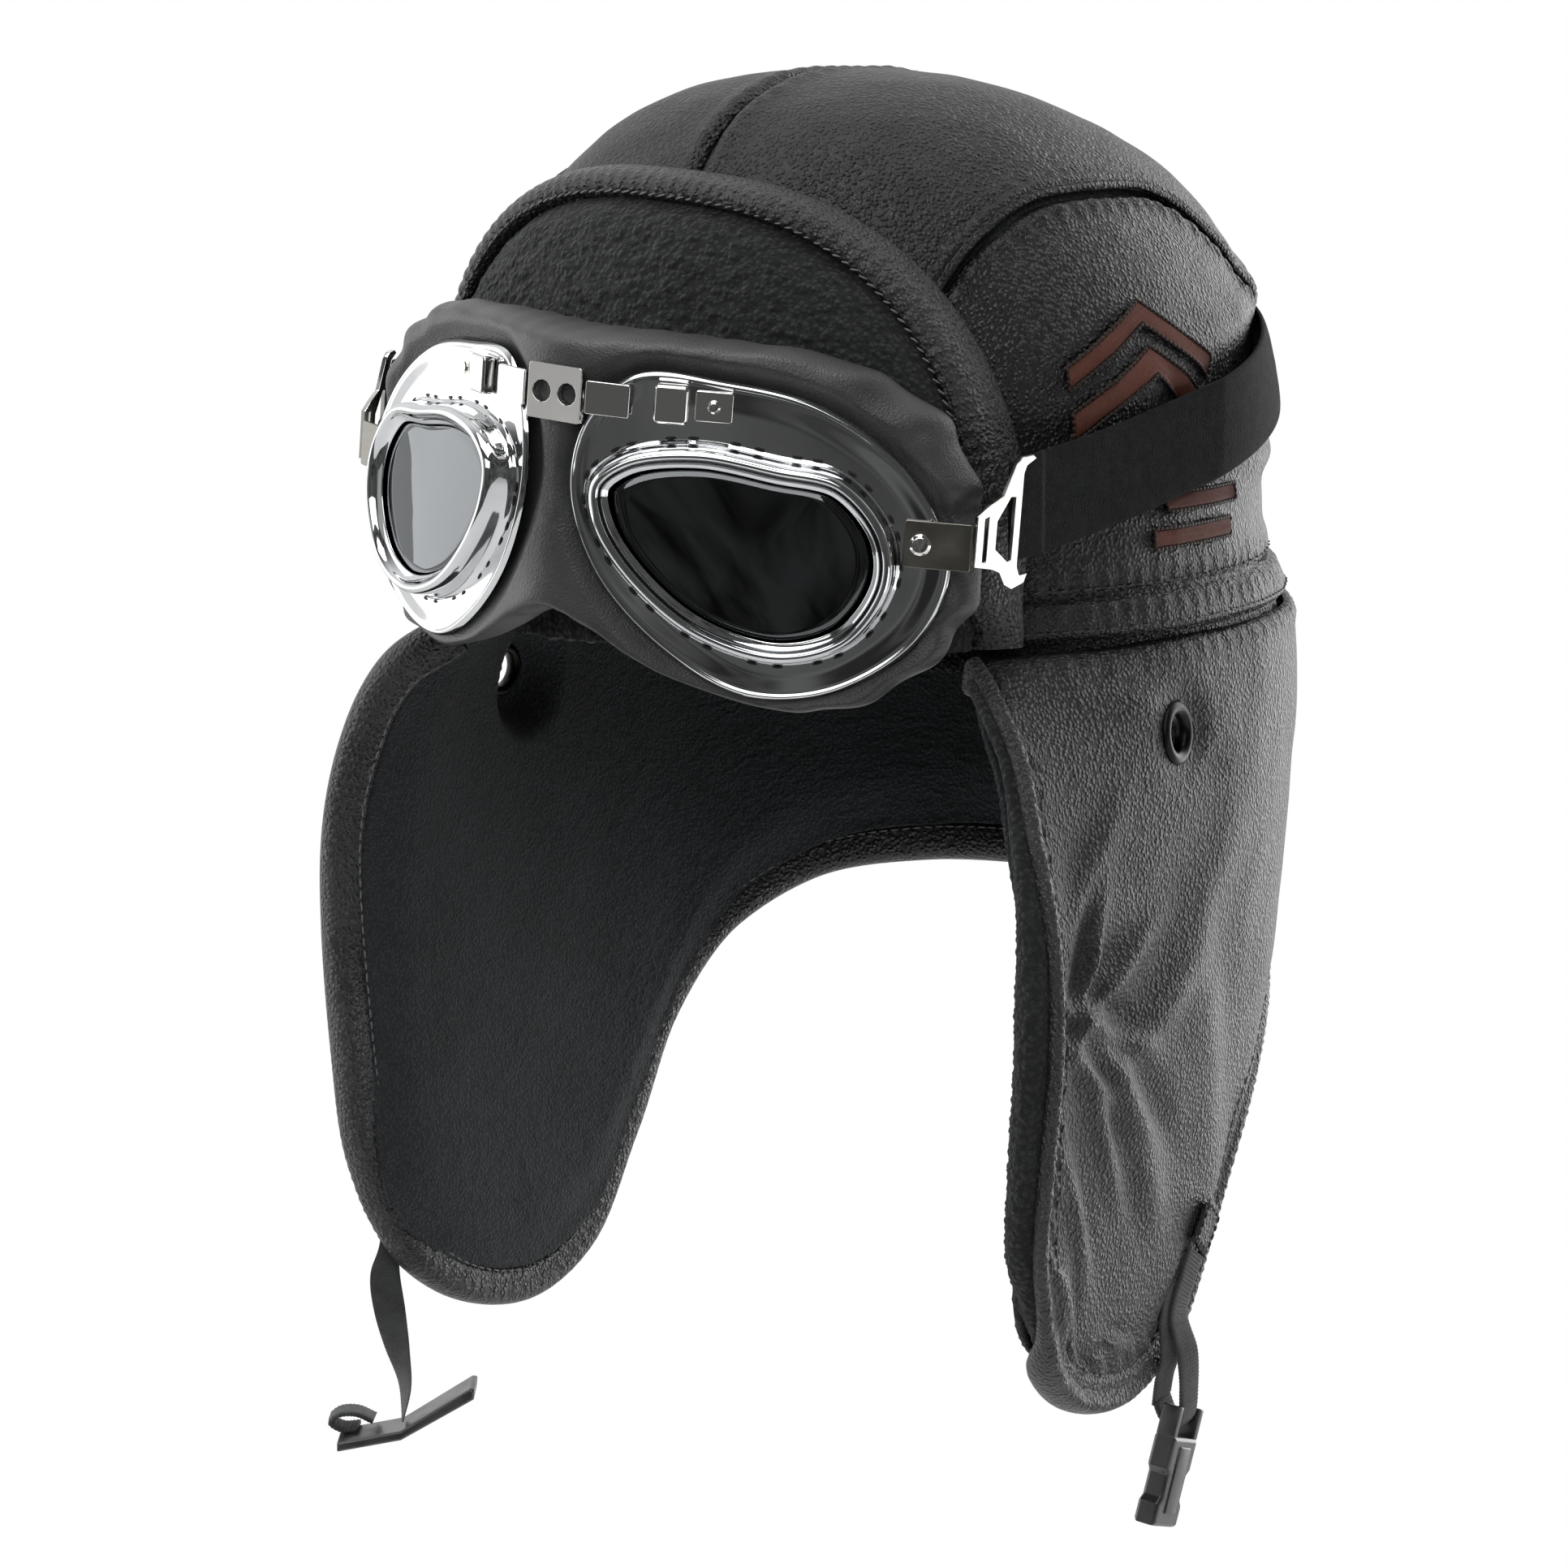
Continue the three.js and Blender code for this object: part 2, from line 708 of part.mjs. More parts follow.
const lensGroups = {};
for (const [side, sign] of [['left', 1], ['right', -1]]) {
  const group = lensGroup(sign);
  lensGroups[side] = group;
  const flangeEdge = sided(outlinePoints(FLANGE_OUTLINE, 0), sign);
  const mouth = sided(outlinePoints(BEZEL_OUTLINE, BEZEL_WALL), sign);
  const bezelEdge = sided(outlinePoints(BEZEL_OUTLINE, 0), sign);
  const glassEdge = sided(outlinePoints(BEZEL_OUTLINE, BEZEL_WALL + 0.35), sign);
  addPiece(`goggle_flange_${side}`, flat(plateShape(flangeEdge, mouth), FLANGE_THICK), 'chrome', group);
  const bezel = addPiece(
    `goggle_bezel_${side}`,
    flat(plateShape(bezelEdge, mouth), BEZEL_HEIGHT, 0.9),
    'chrome',
    group,
  );
  bezel.position.z = FLANGE_THICK + SEAT_GAP;
  const glass = addPiece(
    `goggle_lens_${side}`,
    flat(plateShape(glassEdge), LENS_THICK, 0.4),
    'glass',
    group,
  );
  glass.position.z = LENS_SET;
}

// Goggle pad: one soft cushion behind both lenses, thickest at the nose, resting on the cuff

const PAD_OUTLINE = smoothOutline([
  [0, 43], [30, 43], [56, 40], [74, 28], [83, 4], [80, -19], [66, -34], [46, -38], [25, -32], [11, -24],
  [0, -20], [-11, -24], [-25, -32], [-46, -38], [-66, -34], [-80, -19], [-83, 4], [-74, 28], [-56, 40],
  [-30, 43],
]);
const PAD_HALF_WIDTH = 83;
const PAD_NOSE = 9;
const CUP_DEPTH = 13;

function padFrontY(x) {
  const rounded = Math.hypot(x, PAD_NOSE);
  return LENS_Y + Math.tan(LENS_TURN) * (rounded - LENS_X) + 0.5;
}

function padBackY(x, z) {
  const world = goggleToWorld(x, 0, z);
  const height = Math.max(world.z, 0);
  const cuffY = crownFront(world.x, height, CUFF_GAP + CUFF_THICK + 1.6).y;
  const wing = Math.min(1, Math.abs(x) / PAD_HALF_WIDTH);
  const deepest = THREE.MathUtils.lerp(26, 12, wing);
  return Math.min(cuffY, padFrontY(x) + deepest);
}

function padRing(scale, forward) {
  return spread(57, 0, 1).slice(0, -1).map((place) => {
    const edge = PAD_OUTLINE.getPoint(place).multiplyScalar(scale);
    const front = padFrontY(edge.x);
    const back = padBackY(edge.x, edge.y);
    return goggleToWorld(edge.x, THREE.MathUtils.lerp(back, front, forward), edge.y);
  });
}

function padSolid() {
  const rings = [
    padRing(0.35, 0),
    padRing(0.7, 0),
    padRing(0.9, 0.02),
    padRing(0.97, 0.14),
    padRing(1, 0.45),
    padRing(0.985, 0.8),
    padRing(0.95, 0.95),
    padRing(0.9, 1),
    padRing(0.6, 1),
    padRing(0.3, 1),
  ];
  return ringSolid(
    rings,
    goggleToWorld(0, padBackY(0, 0), 0),
    goggleToWorld(0, padFrontY(0), 0),
  );
}

goggles.updateMatrixWorld(true);
const eyeCups = [['left', 1], ['right', -1]].map(([side, sign]) => {
  const mouth = sided(outlinePoints(BEZEL_OUTLINE, BEZEL_WALL + 0.5, 24), sign);
  const cup = flat(plateShape(mouth), CUP_DEPTH + 5).translate(0, 0, -CUP_DEPTH);
  return cup.applyMatrix4(lensGroups[side].matrixWorld);
});
addPiece('goggle_pad', cutOut(padSolid(), eyeCups), 'padding');

// Bridge over the nose: riveted plates on both flanges, loops, and a plate chain with a slide

function box(width, height, corner = 0.6) {
  const [w, h] = [width / 2 - corner, height / 2 - corner];
  const shape = new THREE.Shape();
  shape.moveTo(-w, -h - corner);
  shape.lineTo(w, -h - corner);
  shape.quadraticCurveTo(w + corner, -h - corner, w + corner, -h);
  shape.lineTo(w + corner, h);
  shape.quadraticCurveTo(w + corner, h + corner, w, h + corner);
  shape.lineTo(-w, h + corner);
  shape.quadraticCurveTo(-w - corner, h + corner, -w - corner, h);
  shape.lineTo(-w - corner, -h);
  shape.quadraticCurveTo(-w - corner, -h - corner, -w, -h - corner);
  return shape;
}

function dome(radius, height) {
  const profile = [[0, 0], [radius, 0], [radius, height * 0.35], [radius * 0.7, height * 0.85], [0, height]];
  return new THREE.LatheGeometry(profile.map(([r, y]) => new THREE.Vector2(r, y)), 16)
    .rotateX(Math.PI / 2);
}

const BRIDGE_UP = 29.3;
const PLATE = { width: 8.4, height: 6.8, thick: 1.1, out: -12 };
const LOOP = { width: 7.6, height: 8.6, thick: 3.2, out: -21.4, corner: 1.2 };
const ON_FLANGE = FLANGE_THICK + SEAT_GAP;
const TAB = { width: 15, height: 10.6, thick: 1, out: 39.4, up: 2.6, rivetOut: 35.6, rivet: 2.5 };

function addOnFlange(name, side, geometry, finish, out, up, seat) {
  const piece = addPiece(`${name}_${side}`, geometry, finish, lensGroups[side]);
  piece.position.set(side === 'left' ? out : -out, up, seat);
}

for (const side of ['left', 'right']) {
  const plate = flat(box(PLATE.width, PLATE.height), PLATE.thick);
  const onPlate = ON_FLANGE + PLATE.thick + SEAT_GAP;
  addOnFlange('bridge_plate', side, plate, 'nickel', PLATE.out, BRIDGE_UP, ON_FLANGE);
  addOnFlange('bridge_rivet', side, dome(1.5, 0.9), 'nickel', PLATE.out, BRIDGE_UP, onPlate);
  const loop = flat(box(LOOP.width, LOOP.height, LOOP.corner), LOOP.thick, 0.5);
  addOnFlange('bridge_loop', side, loop, 'nickel', LOOP.out, BRIDGE_UP, ON_FLANGE);
  const tab = flat(box(TAB.width, TAB.height), TAB.thick);
  const onTab = ON_FLANGE + TAB.thick + SEAT_GAP;
  addOnFlange('strap_tab', side, tab, 'gunmetal', TAB.out, TAB.up, ON_FLANGE);
  addOnFlange('strap_tab_rivet', side, dome(TAB.rivet, 1.2), 'gunmetal', TAB.rivetOut, TAB.up, onTab);
}

function slideShape() {
  const shape = box(14.4, 12.4, 1);
  for (const x of [-3.4, 3.4]) {
    const hole = new THREE.Path();
    hole.absarc(x, 0, 2.5, 0, 2 * Math.PI, true);
    shape.holes.push(hole);
  }
  return shape;
}

// Each plate of the chain stands upright between two plan points, its face to the front
const BRIDGE_CHAIN = [
  { name: 'bridge_link', shape: box(9.2, 8), thick: 1.1, from: [-16.4, -125.4], to: [-6.6, -127.8] },
  { name: 'bridge_slide', shape: slideShape(), thick: 1.5, from: [-6, -127.6], to: [8.4, -127.6] },
  { name: 'bridge_strap', shape: box(10.4, 7.4), thick: 1.1, from: [9, -127.4], to: [18.6, -124.8] },
];
for (const { name, shape, thick, from, to } of BRIDGE_CHAIN) {
  const along = new THREE.Vector3(to[0] - from[0], to[1] - from[1], 0).normalize();
  const upward = new THREE.Vector3(0, 0, 1);
  const forward = along.clone().cross(upward);
  const plate = addPiece(name, flat(shape, thick), 'nickel', goggles);
  plate.quaternion.setFromRotationMatrix(new THREE.Matrix4().makeBasis(along, upward, forward));
  plate.position.set((from[0] + to[0]) / 2, (from[1] + to[1]) / 2, BRIDGE_UP);
}

// Hook buckles: stamped plates, u runs from the tab towards the strap, v is up
const BUCKLE_OUTLINE = [
  [0.2, 5], [3.4, 7.4], [6.8, 9.4], [9.6, 16.6], [11.4, 18.2], [13.8, 18.6], [14.8, 17.8], [12.4, 16.2],
  [11.8, 14.4], [11.8, -6.4], [12.6, -8.4], [14.8, -8], [14, -10.2], [10.8, -11.6], [8.8, -10.6],
  [7.2, -7.8], [5, -7], [0.2, -6.4],
];
const BUCKLE_SLOT = [[2.2, 4.4], [3.2, 4.9], [3.2, -5.2], [2.2, -5.2]];
const BUCKLE_WINDOW = [[5.6, 3.8], [8.8, 9.2], [10, 9.2], [10, -5], [9, -5.2], [5.6, -2.4]];
const BUCKLE = { x: 84.9, y: -84.6, leftTurn: 66, rightTurn: 80, up: 4.9, thick: 1.2 };

function buckleShape() {
  const at = ([u, v]) => new THREE.Vector2(u, v);
  const shape = new THREE.Shape(BUCKLE_OUTLINE.map(at));
  for (const hole of [BUCKLE_SLOT, BUCKLE_WINDOW]) {
    shape.holes.push(new THREE.Path(hole.map(at).reverse()));
  }
  return shape;
}

for (const [side, sign] of [['left', 1], ['right', -1]]) {
  const turn = THREE.MathUtils.degToRad(sign > 0 ? BUCKLE.leftTurn : BUCKLE.rightTurn);
  const along = new THREE.Vector3(sign * Math.cos(turn), Math.sin(turn), 0);
  const upward = new THREE.Vector3(0, 0, 1);
  const through = along.clone().cross(upward);
  const buckle = addPiece(`hook_buckle_${side}`, flat(buckleShape(), BUCKLE.thick), 'nickel', goggles);
  buckle.quaternion.setFromRotationMatrix(new THREE.Matrix4().makeBasis(along, upward, through));
  buckle.position.set(sign * BUCKLE.x, BUCKLE.y, BUCKLE.up);
  buckle.position.addScaledVector(through, sign > 0 ? 0 : -BUCKLE.thick);
}

// Elastic strap: from one buckle round the back of the crown to the other
const STRAP_START = { x: 85, y: -73.2 };
const STRAP_END = { x: -84.9, y: -72 };
const STRAP_TOUCH = 95.5;
const STRAP_LIFT = 1.4;
const STRAP_HEIGHT = { left: 31.7, right: 47.4, back: 65 };

function strapRadius(angle, z) {
  const round = crownAtHeight(angle, z, STRAP_LIFT);
  const onCrown = Math.hypot(round.x, round.y - CENTRE_Y);
  const direction = { x: Math.cos(angle), y: Math.sin(angle) };
  if (direction.y > 0) {
    return onCrown;
  }
  const [start, touch] = angle < 0 ? [STRAP_START, STRAP_TOUCH] : [STRAP_END, -STRAP_TOUCH];
  const run = { x: touch - start.x, y: CENTRE_Y - start.y };
  const area = run.y * start.x - run.x * (start.y - CENTRE_Y);
  const straight = area / (run.y * direction.x - run.x * direction.y);
  return Math.max(onCrown, straight);
}

function strapHeight(angle) {
  const y = CENTRE_Y + 105 * Math.sin(angle);
  const side = Math.cos(angle) > 0 ? 'left' : 'right';
  const climb = (y - STRAP_START.y) / (CENTRE_Y + 105 - STRAP_START.y);
  return THREE.MathUtils.lerp(STRAP_HEIGHT[side], STRAP_HEIGHT.back, climb);
}

function elasticStrap() {
  const startAngle = Math.atan2(STRAP_START.y - CENTRE_Y, STRAP_START.x);
  const endAngle = Math.atan2(STRAP_END.y - CENTRE_Y, STRAP_END.x) + 2 * Math.PI;
  const angles = spread(45, startAngle, endAngle);
  const rows = [-0.5, 0, 0.5];
  return sheetSolid(angles.length, rows.length, (column, row, side) => {
    const angle = angles[column];
    const z = strapHeight(angle) + rows[row] * ELASTIC_WIDTH;
    const radius = strapRadius(angle, z) + (side === 'outer' ? ELASTIC_THICK : 0);
    return new THREE.Vector3(radius * Math.cos(angle), CENTRE_Y + radius * Math.sin(angle), z);
  });
}
addPiece('goggle_strap', elasticStrap(), 'elastic');

// Chin straps: a sewn tab on the outside of each flap, ribbed webbing, and half a buckle

// A flat ribbon; turn is the plan angle of its width, in degrees
function ribbon(rows, width, thick, steps) {
  const path = roundTrip(rows.map(({ x, y, z }) => [x, y, z]));
  const turns = roundTrip(rows.map(({ turn }, place) => [place, turn, 0]));
  return sheetSolid(steps, 2, (column, row, side) => {
    const place = column / (steps - 1);
    const turn = THREE.MathUtils.degToRad(turns.getPoint(place).y);
    const widthwise = new THREE.Vector3(Math.cos(turn), Math.sin(turn), 0);
    const tangent = path.getTangent(place);
    widthwise.addScaledVector(tangent, -widthwise.dot(tangent)).normalize();
    const normal = tangent.clone().cross(widthwise);
    return path.getPoint(place)
      .addScaledVector(widthwise, (row - 0.5) * width)
      .addScaledVector(normal, side === 'outer' ? thick / 2 : -thick / 2);
  });
}

const CHIN_TAB = { width: 12, thick: 1.8, lift: 1.2 };
const LEFT_TAB = [{ y: 13, z: -142 }, { y: 9, z: -147 }, { y: 5, z: -152 }];
const RIGHT_TAB = [{ y: -60, z: -136 }, { y: -61.3, z: -142 }, { y: -62.5, z: -148 }];

// A tab that follows the outside of a flap from its first place to its last
function flapTab(sign, places) {
  const path = roundTrip(places.map(({ y, z }) => [0, y, z]));
  const steps = 6;
  return sheetSolid(steps, 3, (column, row, side) => {
    const place = column / (steps - 1);
    const tangent = path.getTangent(place);
    const middle = path.getPoint(place);
    const across = (row / 2 - 0.5) * CHIN_TAB.width;
    const y = middle.y - tangent.z * across;
    const z = middle.z + tangent.y * across;
    return onFlap(sign, y, z, CHIN_TAB.lift + (side === 'outer' ? CHIN_TAB.thick : 0));
  });
}

const LEFT_WEBBING = [
  { x: 94.8, y: -2, z: -176, turn: 84 },
  { x: 94.6, y: -0.6, z: -185, turn: 88 },
  { x: 93.6, y: -0.2, z: -192.5, turn: 90 },
  { x: 91.4, y: -0.6, z: -194.6, turn: 90 },
  { x: 89.2, y: -1.2, z: -192, turn: 90 },
  { x: 87.8, y: -1.8, z: -188.2, turn: 90 },
];
const RIGHT_WEBBING = [
  { x: -98.5, y: -65.5, z: -170, turn: 62 },
  { x: -97.6, y: -65, z: -180, turn: 30 },
  { x: -96.6, y: -63.5, z: -190, turn: 0 },
  { x: -95.5, y: -62, z: -200, turn: -30 },
  { x: -95.5, y: -63, z: -208, turn: -52 },
];
addPiece('chin_tab_left', flapTab(1, LEFT_TAB), 'leather');
addPiece('chin_tab_right', flapTab(-1, RIGHT_TAB), 'leather');

// The webbing starts just past the end of its tab and first lies on the flap
const TAB_GAP = 0.9;
const LEFT_ON_FLAP = [{ y: 1, z: -158.5 }, { y: -2.5, z: -166 }];
const RIGHT_ON_FLAP = [{ y: -63.8, z: -153 }, { y: -65, z: -160 }];

function leaveTab(sign, tab, onFlapPlaces) {
  const [before, end] = tab.slice(-2);
  const past = 1 + TAB_GAP / Math.hypot(end.y - before.y, end.z - before.z);
  const start = {
    y: THREE.MathUtils.lerp(before.y, end.y, past),
    z: THREE.MathUtils.lerp(before.z, end.z, past),
  };
  return [start, ...onFlapPlaces].map(({ y, z }) => {
    const { x } = onFlap(sign, y, z, CHIN_TAB.lift + CHIN_TAB.thick / 2);
    return { x, y, z, turn: 90 };
  });
}

const leftRoute = [...leaveTab(1, LEFT_TAB, LEFT_ON_FLAP), ...LEFT_WEBBING];
const rightRoute = [...leaveTab(-1, RIGHT_TAB, RIGHT_ON_FLAP), ...RIGHT_WEBBING];
addPiece('chin_webbing_left', ribbon(leftRoute, WEBBING_WIDTH, WEBBING_THICK, 25), 'webbing');
addPiece('chin_webbing_right', ribbon(rightRoute, WEBBING_WIDTH, WEBBING_THICK, 21), 'webbing');

// Socket half of the chin buckle: a mouth below and a bar for the webbing above
const SOCKET = { width: 13, length: 22, thick: 6 };

function socketShape() {
  const half = SOCKET.width / 2;
  return new THREE.Shape([
    [-half, 0], [half, 0], [half, -8], [half - 1.4, -9.5], [half - 1.4, -15], [half, -16.5],
    [half, -SOCKET.length], [-half, -SOCKET.length], [-half, -16.5], [-half + 1.4, -15],
    [-half + 1.4, -9.5], [-half, -8],
  ].map(([u, v]) => new THREE.Vector2(u, v)));
}

function socketMouth() {
  const depth = 12;
  return new THREE.BoxGeometry(SOCKET.width - 3, depth, SOCKET.thick - 2.4)
    .translate(0, -SOCKET.length + depth / 2 - 0.5, SOCKET.thick / 2);
}

const socket = addPiece(
  'buckle_socket_half',
  cutOut(flat(socketShape(), SOCKET.thick, 0.8), [socketMouth()]),
  'plastic',
);
const SOCKET_TURN = THREE.MathUtils.degToRad(90);
const socketUp = new THREE.Vector3(0.1, 0.3, 0.95).normalize();
const socketWide = new THREE.Vector3(Math.cos(SOCKET_TURN), Math.sin(SOCKET_TURN), 0);
socketWide.addScaledVector(socketUp, -socketWide.dot(socketUp)).normalize();
const socketOut = socketWide.clone().cross(socketUp);
socket.quaternion.setFromRotationMatrix(new THREE.Matrix4().makeBasis(socketWide, socketUp, socketOut));
socket.position.set(91.8, -1.2, -197.1).addScaledVector(socketOut, -SOCKET.thick / 2);

// Prong half of the chin buckle: a bent plate, seen edge on
const PRONG = { width: 13, thick: 2.4 };

function prongShape() {
  return new THREE.Shape([
    [-16.5, -5.4], [-0.4, -PRONG.thick], [18, 8.2], [18.2, 10.8], [17, 11], [-0.6, 0], [-16.5, -3],
  ].map(([u, v]) => new THREE.Vector2(u, v)));
}

const prong = addPiece('buckle_prong_half', flat(prongShape(), PRONG.width, 0.4), 'plastic');
const PRONG_TURN = THREE.MathUtils.degToRad(33);
const prongAlong = new THREE.Vector3(Math.cos(PRONG_TURN), Math.sin(PRONG_TURN), 0);
const prongUp = new THREE.Vector3(0, 0, 1);
const prongSide = prongAlong.clone().cross(prongUp);
prong.quaternion.setFromRotationMatrix(new THREE.Matrix4().makeBasis(prongAlong, prongUp, prongSide));
prong.position.set(-95, -63, -209.6).addScaledVector(prongSide, -PRONG.width / 2);

export default hat;
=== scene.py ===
import math
import bmesh
import bpy
import numpy as np
from mathutils import Matrix, Vector, noise
from mathutils.bvhtree import BVHTree


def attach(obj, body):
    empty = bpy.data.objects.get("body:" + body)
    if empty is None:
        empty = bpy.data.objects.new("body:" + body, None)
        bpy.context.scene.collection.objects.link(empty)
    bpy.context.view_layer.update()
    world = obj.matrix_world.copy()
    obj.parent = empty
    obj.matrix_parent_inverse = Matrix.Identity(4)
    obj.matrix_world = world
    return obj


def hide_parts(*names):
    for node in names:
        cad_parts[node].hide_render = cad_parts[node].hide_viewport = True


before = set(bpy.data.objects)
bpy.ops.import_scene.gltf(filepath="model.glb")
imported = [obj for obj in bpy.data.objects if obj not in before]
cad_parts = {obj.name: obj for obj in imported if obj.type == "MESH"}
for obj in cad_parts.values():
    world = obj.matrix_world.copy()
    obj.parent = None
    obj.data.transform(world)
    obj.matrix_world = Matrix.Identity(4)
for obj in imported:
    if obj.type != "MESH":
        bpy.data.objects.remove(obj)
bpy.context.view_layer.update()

# ---------------------------------------------------------------------------------------------
# Camera: a long lens a little above the brow, to the wearer's front left, as the photo was taken.
# It stands 1.2 m away and takes in the whole hat with a narrow margin.

TARGET = Vector((-0.01543, -0.01002, -0.0464))
EYE = Vector((0.6292, -1.0027, 0.1516))


def add_object(name, data):
    """A new object in the scene."""
    obj = bpy.data.objects.new(name, data)
    bpy.context.scene.collection.objects.link(obj)
    return obj


camera = add_object("camera", bpy.data.cameras.new("camera"))
camera.location = EYE
camera.rotation_euler = (TARGET - EYE).to_track_quat("-Z", "Y").to_euler()
camera.data.lens = 111.8
camera.data.sensor_width = 36
camera.data.clip_start = 0.05
bpy.context.scene.camera = camera

# ---------------------------------------------------------------------------------------------
# Chin webbing: ribbed polyester tape, 8 mm wide and 1.4 mm thick, one length hanging from each ear
# flap. It starts under the sewn tab, lies on the flap first and then hangs to its buckle half.

MM = 0.001
WEBBING_WIDTH = 8
WEBBING_THICK = 1.4
WEBBING_RIB = 0.95

# x, y, z and the plan angle of the tape's width, in mm and degrees
LEFT_WEBBING = [
    (93.06, 4.44, -152.7, 90), (92.83, 1, -158.5, 90), (92.43, -2.5, -166, 90), (94.8, -2, -176, 84),
    (94.6, -0.6, -185, 88), (93.6, -0.2, -192.5, 90), (91.4, -0.6, -194.6, 90), (89.2, -1.2, -192, 90),
    (87.8, -1.8, -188.2, 90),
]
RIGHT_WEBBING = [
    (-97.21, -62.68, -148.88, 90), (-96.94, -63.8, -153, 90), (-96.95, -65, -160.5, 90),
    (-98.5, -65.5, -170, 62), (-97.6, -65, -180, 30), (-96.6, -63.5, -190, 0), (-95.5, -62, -200, -30),
    (-95.5, -63, -208, -52),
]


def spline(rows, closed=False, steps=24):
    """A smooth line of points through the rows."""
    p = np.array(rows, float)
    if closed:
        p = np.vstack([p[-1:], p, p[:2]])
    else:
        p = np.vstack([2 * p[0] - p[1], p, 2 * p[-1] - p[-2]])
    line = []
    for a, b, c, d in zip(p, p[1:], p[2:], p[3:]):
        t1 = np.linalg.norm(b - a) ** 0.5
        t2 = t1 + np.linalg.norm(c - b) ** 0.5
        t3 = t2 + np.linalg.norm(d - c) ** 0.5
        t = (t1 + (t2 - t1) * np.arange(steps) / steps)[:, None]
        ab = ((t1 - t) * a + t * b) / t1
        bc = ((t2 - t) * b + (t - t1) * c) / (t2 - t1)
        cd = ((t3 - t) * c + (t - t2) * d) / (t3 - t2)
        abc = ((t2 - t) * ab + t * bc) / t2
        bcd = ((t3 - t) * bc + (t - t1) * cd) / (t3 - t1)
        line.extend(((t2 - t) * abc + (t - t1) * bcd) / (t2 - t1))
    line.append(p[-2])
    return np.array(line)


def line_length(line):
    return np.linalg.norm(np.diff(line[:, :3], axis=0), axis=1).sum()


def along(line, share):
    """The line's points at these shares of its length."""
    lengths = np.append(0, np.cumsum(np.linalg.norm(np.diff(line[:, :3], axis=0), axis=1)))
    return np.stack([np.interp(share * lengths[-1], lengths, column) for column in line.T], axis=-1)


def unit(vectors):
    return vectors / np.maximum(np.linalg.norm(vectors, axis=-1, keepdims=True), 1e-12)


def by_share(line, share):
    """The line's point at a share of its rows."""
    return np.stack([np.interp(share, np.linspace(0, 1, len(line)), c) for c in line.T], axis=-1)


def towards(angle):
    """Level unit vectors at these plan angles."""
    return np.stack([np.cos(angle), np.sin(angle), 0 * angle], axis=-1)


def laid_out(x_axis, y_axis, z_axis, middle):
    """The matrix that lays a unit shape along three axes, given in mm."""
    matrix = Matrix.Identity(4)
    for column, axis in enumerate((x_axis, y_axis, z_axis, middle)):
        matrix[0][column], matrix[1][column], matrix[2][column] = axis * MM
    return matrix


def sheet(columns, rows, place, inside=None, closed=False):
    """A grid whose points place(u, v) sets in mm, facing away from the point inside."""
    bm = bmesh.new()
    bmesh.ops.create_grid(bm, x_segments=columns, y_segments=rows, size=0.5)
    uv = np.array([vert.co[:2] for vert in bm.verts]) + 0.5
    for vert, point in zip(bm.verts, place(uv[:, 0], uv[:, 1]) * MM):
        vert.co = point
    if closed:
        bmesh.ops.remove_doubles(bm, verts=bm.verts, dist=2e-6)
    bm.normal_update()
    if inside is None:
        bmesh.ops.recalc_face_normals(bm, faces=bm.faces)
    else:
        middle = Vector(inside) * MM
        facing = sum((face.calc_center_median() - middle).dot(face.normal) for face in bm.faces)
        if facing < 0:
            bmesh.ops.reverse_faces(bm, faces=bm.faces)
    return bm


def close_ends(bm):
    """Closes the open ends of a tube and turns its faces outward."""
    bmesh.ops.holes_fill(bm, edges=[edge for edge in bm.edges if edge.is_boundary], sides=0)
    bmesh.ops.recalc_face_normals(bm, faces=bm.faces)
    return bm


def mesh_of(name, bm):
    """The finished mesh of a shape."""
    mesh = bpy.data.meshes.new(name)
    bm.to_mesh(mesh)
    bm.free()
    return mesh


def piece(name, bm, material, slot, *nodes):
    """The finished piece: it rides on the hat and stands for its CAD nodes."""
    mesh = mesh_of(name, bm)
    mesh.materials.append(material)
    mesh.shade_smooth()
    obj = add_object(name, mesh)
    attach(obj, "root")
    if nodes:
        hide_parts(*nodes)
    return obj


def ribbon_section(width, thick, count=28):
    """Points round a flat tape's section, with soft selvedges."""
    turn = np.linspace(0, 2 * np.pi, count + 1)
    wide = np.sign(np.cos(turn)) * np.abs(np.cos(turn)) ** 0.35 * width / 2
    deep = np.sign(np.sin(turn)) * np.abs(np.sin(turn)) ** 0.6 * thick / 2
    return np.stack([wide, deep], axis=-1)


def tape(rows, width, thick, rib):
    """A ribbed tape along the rows, and its centreline."""
    line = spline(rows)
    columns = int(line_length(line) / 0.28)

    def place(u, v):
        centre = along(line, u)
        ahead = unit(along(line, np.minimum(u + 0.01, 1)) - along(line, np.maximum(u - 0.01, 0)))[:, :3]
        wide = towards(np.radians(centre[:, 3]))
        wide = unit(wide - (wide * ahead).sum(axis=1, keepdims=True) * ahead)
        deep = np.cross(ahead, wide)
        across, out = by_share(ribbon_section(width, thick), v).T
        ribs = 1 + 0.16 * np.sin(2 * np.pi * u * line_length(line) / rib)
        return centre[:, :3] + wide * across[:, None] + deep * (out * ribs)[:, None]

    return close_ends(sheet(columns, 28, place, closed=True)), line[::6, :3] * MM, line_length(line) * MM


def add_node(tree, kind, inputs=None, **settings):
    """A shader node with its settings, and its inputs set to a value or linked to a socket."""
    node = tree.nodes.new(kind)
    for name, value in settings.items():
        setattr(node, name, value)
    for key, value in (inputs or {}).items():
        if isinstance(value, bpy.types.NodeSocket):
            tree.links.new(value, node.inputs[key])
        else:
            node.inputs[key].default_value = value
    return node


